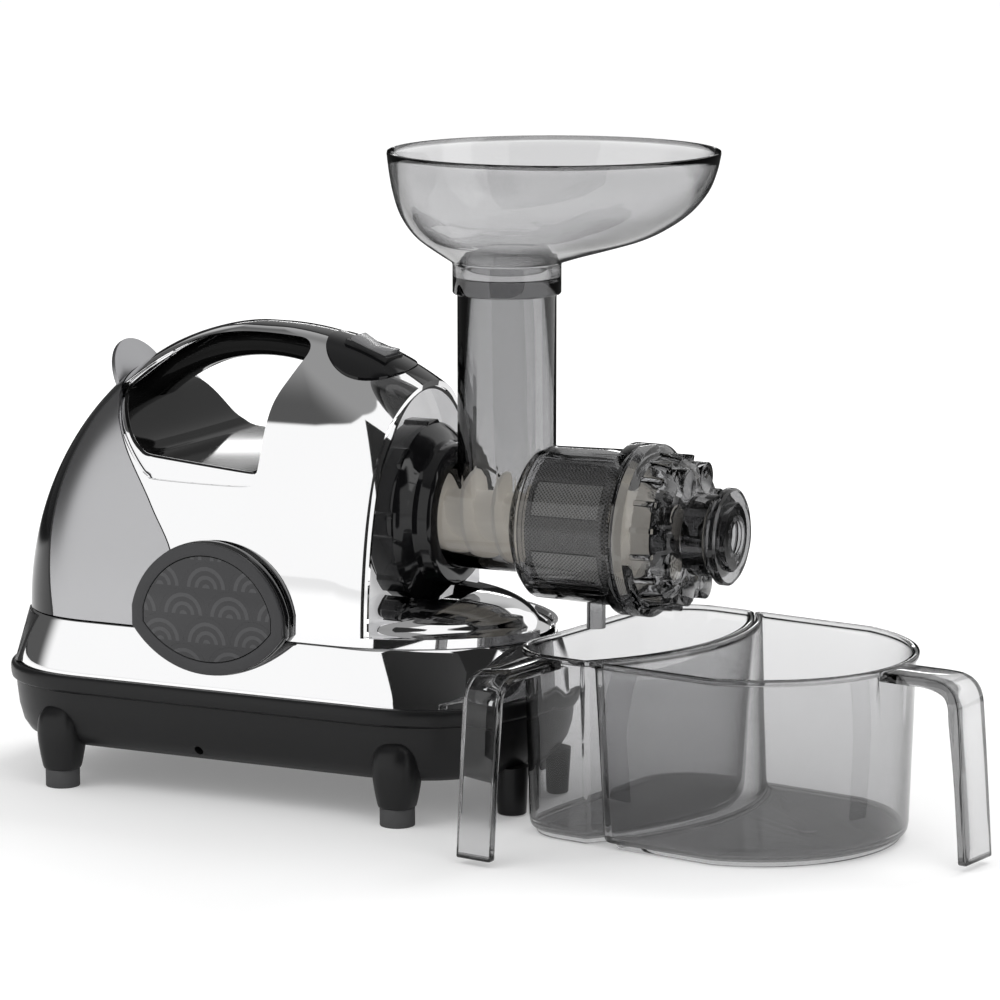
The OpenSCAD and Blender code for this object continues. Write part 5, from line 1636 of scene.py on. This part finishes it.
@dataclass
class Studio:
    """Floor, world, lamps, card and camera."""

    # Top of the bright walls round the machine: direction in degrees from the machine's left side, and height.
    horizon: list[Point] = field(default_factory=lambda: [
        (0, 50), (10.5, 58), (54, 79), (143, 77), (177, 60.5), (188.5, 50.5), (204, 41), (215, 33.5), (262, 22),
        (360, 22)])
    # Fields of the walls: from, to and softness round the machine, in degrees; then the heights between which the
    # level changes, and the levels below and above them.
    back: tuple[Triple, tuple[float, ...]] = ((318.0, 372.0, 10.0), (25.0, 52.0, 0.55, 0.22))
    box: tuple[Triple, tuple[float, ...]] = ((66.0, 92.0, 5.0), (48.0, 54.0, 1.4, 0.0))
    dark: tuple[Triple, tuple[float, ...]] = ((318.0, 356.0, 3.0), (10.5, 12.5, 1.0, 0.0))
    # Fields with a lower and an upper edge: from, to and softness round the machine, and the same upwards.
    strip: tuple[Triple, Triple] = ((326.0, 342.0, 2.0), (13.0, 14.3, 0.3))
    corner: tuple[Triple, Triple] = ((95.0, 126.0, 2.0), (22.0, 60.0, 2.0))
    # Lamps: name, place, point that they look at, side in metres and power in watts.
    lamps: tuple[tuple[str, Triple, Triple, float, float], ...] = (
        ("key", (-0.9, -1.3, 1.9), (-0.08, 0.0, 0.12), 1.3, 11.0),
        ("fill", (1.5, -0.9, 1.2), (0.05, 0.0, 0.12), 1.0, 5.0),
        ("back", (0.3, 1.3, 1.9), (0.0, 0.0, 0.1), 0.9, 20.0))

    def build(self) -> None:
        """Builds the whole stage."""
        self.camera()
        self.floor()
        self.card()
        self.world()
        for lamp in self.lamps:
            self.lamp(*lamp)

    def camera(self) -> None:
        """Places the camera."""
        data = bpy.data.cameras.new("view")
        data.lens, data.sensor_width = 159.05, 36.0
        data.clip_start, data.clip_end = 0.1, 60.0
        obj = in_scene("view", data)
        obj.location = (Vector((962.4, -1984.9, 537.6)) + SHIFT) * MM
        obj.rotation_euler = (math.radians(90 - 9.804), 0, math.radians(25.9576))
        bpy.context.scene.camera = obj
        bpy.context.scene.view_settings.view_transform = "Standard"

    def sheet(self, name: str, spans: int, size: float, material: bpy.types.Material, place: Matrix) -> Piece:
        """Makes a flat square of the stage.

        Args:
            name: Its name.
            spans: Spans along each side.
            size: Half its side, in its own unit.
            material: Its material.
            place: Matrix from its own frame to metres in the row frame.

        Returns:
            The object.
        """
        bm = bmesh.new()
        bmesh.ops.create_grid(bm, x_segments=spans, y_segments=spans, size=size, matrix=place)
        obj = to_object(bm, name)
        obj.data.materials.append(material)
        return obj

    def floor(self) -> None:
        """Builds the pale floor, with painted light: it glows, less near the machine than far off; and with a painted
        reflection: its far part shows dark in what mirrors it.
        """
        material = bpy.data.materials.new("floor")
        material.use_nodes = True
        tree = Tree(material.node_tree)
        tree.tree.nodes.clear()
        path = tree.add("LightPath")
        seen = tree.math("MAXIMUM", path.outputs["Is Camera Ray"], path.outputs["Is Transmission Ray"])
        seen = tree.math("MAXIMUM", seen, tree.mul(path.outputs["Is Glossy Ray"], 0.6))
        # Painted reflection: the floor far behind the machine is dark for mirrored rays.
        behind = tree.ramp(tree.axes()[1], 0.55, 0.8, 0.0, 0.96)
        kept = tree.sub(1.0, tree.mul(behind, tree.ramp(tree.mirrored(path), 0.0, 1.0)))
        diffuse = tree.get("BsdfDiffuse", {"Color": tree.scale((0.8, 0.8, 0.8), kept)})
        # Painted light: the floor glows for camera and glass rays, and less for mirror rays; less near the machine, so
        # the floor there is darker and lamp shadows show.
        away = tree.get("VectorMath", {0: tree.coords()}, "Value", operation="LENGTH")
        glow = tree.mul(tree.mul(seen, tree.ramp(away, 0.35, 1.3, 0.2, 0.42)), kept)
        glow = tree.get("Emission", {"Color": (1, 1, 1, 1), "Strength": glow})
        tree.add("OutputMaterial", {"Surface": tree.get("AddShader", {0: diffuse, 1: glow})})
        obj = self.sheet("floor", 8, 12.0, material, PLAN)

    def card(self) -> None:
        """Hangs a black card beside the camera, which only shows in the chrome and the gloss."""
        place = TO_ROW @ Matrix(((512, 0, 0, 214), (0, 0, 1, -250), (0, 500, 0, 290), (0, 0, 0, 1)))
        obj = self.sheet("card", 4, 0.5, Finish((0.01, 0.01, 0.01), 0.9).build("card"), place)
        obj.visible_camera = obj.visible_diffuse = obj.visible_transmission = obj.visible_shadow = False

    def world(self) -> None:
        """Lights the scene with a plain surround, and gives gloss and glass a studio of light and dark walls."""
        world = bpy.data.worlds.new("surround")
        bpy.context.scene.world = world
        world.use_nodes = True
        tree = Tree(world.node_tree)
        tree.tree.nodes.clear()
        path = tree.add("LightPath")
        x, y, z = tree.axes(tree.get("TexCoord", output="Generated"))
        turn = tree.mul(tree.math("ARCTAN2", x, y), DEGREES)
        turn = tree.math("ADD", turn, tree.mul(tree.math("LESS_THAN", turn, 0.0), 360.0))
        rise = tree.mul(tree.math("ARCSINE", z), DEGREES)
        height = tree.math("MULTIPLY_ADD", self.walls(tree, turn), -90.0, rise)
        wall = tree.mul(tree.ramp(turn, 236.0, 258.0, 1.0, 0.0), tree.ramp(height, -0.8, 0.8, 1.0, 0.0))
        back, box, dark = (tree.mul(tree.window(turn, *around), tree.ramp(rise, *up))
                           for around, up in (self.back, self.box, self.dark))
        strip, corner = (tree.mul(tree.window(turn, *around), tree.window(rise, *up))
                         for around, up in (self.strip, self.corner))
        gray = tree.ramp(rise, 40.0, 64.0, 0.09, 0.30)
        rest = tree.mul(tree.sub(1.0, wall), tree.math("MAXIMUM", gray, back))
        level = tree.math("ADD", tree.math("ADD", wall, rest), tree.math("MULTIPLY_ADD", strip, 7.0, box))
        level = tree.mul(level, tree.sub(1.02, tree.math("MAXIMUM", dark, corner)))
        off = tree.math("ABSOLUTE", tree.sub(turn, 334.0))
        off = tree.math("MINIMUM", off, tree.sub(360.0, off))
        lit = tree.mul(tree.ramp(off, 60.0, 85.0, 1.0, 0.12), tree.ramp(rise, 40.0, 60.0, 1.0, 0.3))
        white = (1, 1, 1, 1)
        mix = tree.get("Background", {"Color": white, "Strength": 0.75})
        for ray, strength in (("Glossy", level), ("Transmission", lit), ("Camera", 1.0)):
            light = tree.get("Background", {"Color": white, "Strength": strength})
            mix = tree.get("MixShader", {0: path.outputs[f"Is {ray} Ray"], 1: mix, 2: light})
        tree.add("OutputWorld", {"Surface": mix})

    def walls(self, tree: Tree, turn: Socket) -> Socket:
        """Gives the height of the bright walls in a direction round the machine.

        Args:
            tree: The world's tree.
            turn: The direction in degrees.

        Returns:
            The height, as a share of 90 degrees.
        """
        curve = tree.add("FloatCurve", {"Factor": 1.0, "Value": tree.math("DIVIDE", turn, 360.0)})
        line = curve.mapping.curves[0]
        for place, height in self.horizon[1:-1]:
            line.points.new(place / 360, height / 90)
        for end in (0, -1):
            line.points[end].location.y = self.horizon[end][1] / 90
        for point in line.points:
            point.handle_type = "VECTOR"
        curve.mapping.update()
        return curve.outputs[0]

    def lamp(self, name: str, at: Triple, to: Triple, size: float, watts: float) -> None:
        """Hangs one soft square lamp.

        Args:
            name: The lamp's name.
            at: Its place in metres.
            to: The point that it looks at.
            size: Length of its side in metres.
            watts: Its power.
        """
        data = bpy.data.lights.new(name, "AREA")
        data.size, data.energy = size, watts
        obj = in_scene(name, data)
        obj.location = at
        obj.rotation_euler = (Vector(to) - Vector(at)).to_track_quat("-Z", "Y").to_euler()
        obj.visible_camera = obj.visible_glossy = obj.visible_transmission = False


def main() -> None:
    """Builds the stage and every piece, and reports them."""
    logging.basicConfig(level=logging.INFO, format="%(message)s")
    Studio().build()
    for part in (Base(), Housing(), Grip(), Badge(), SwitchPanel(), Auger(), Hopper(), Containers()):
        part.build()
    for look, nodes in KEPT.items():
        for node, bevel in nodes:
            SHOP.dress(node, look, bevel)
    log.info("%d new pieces", SHOP.made)
    bpy.context.view_layer.update()


if __name__ == "__main__":
    main()
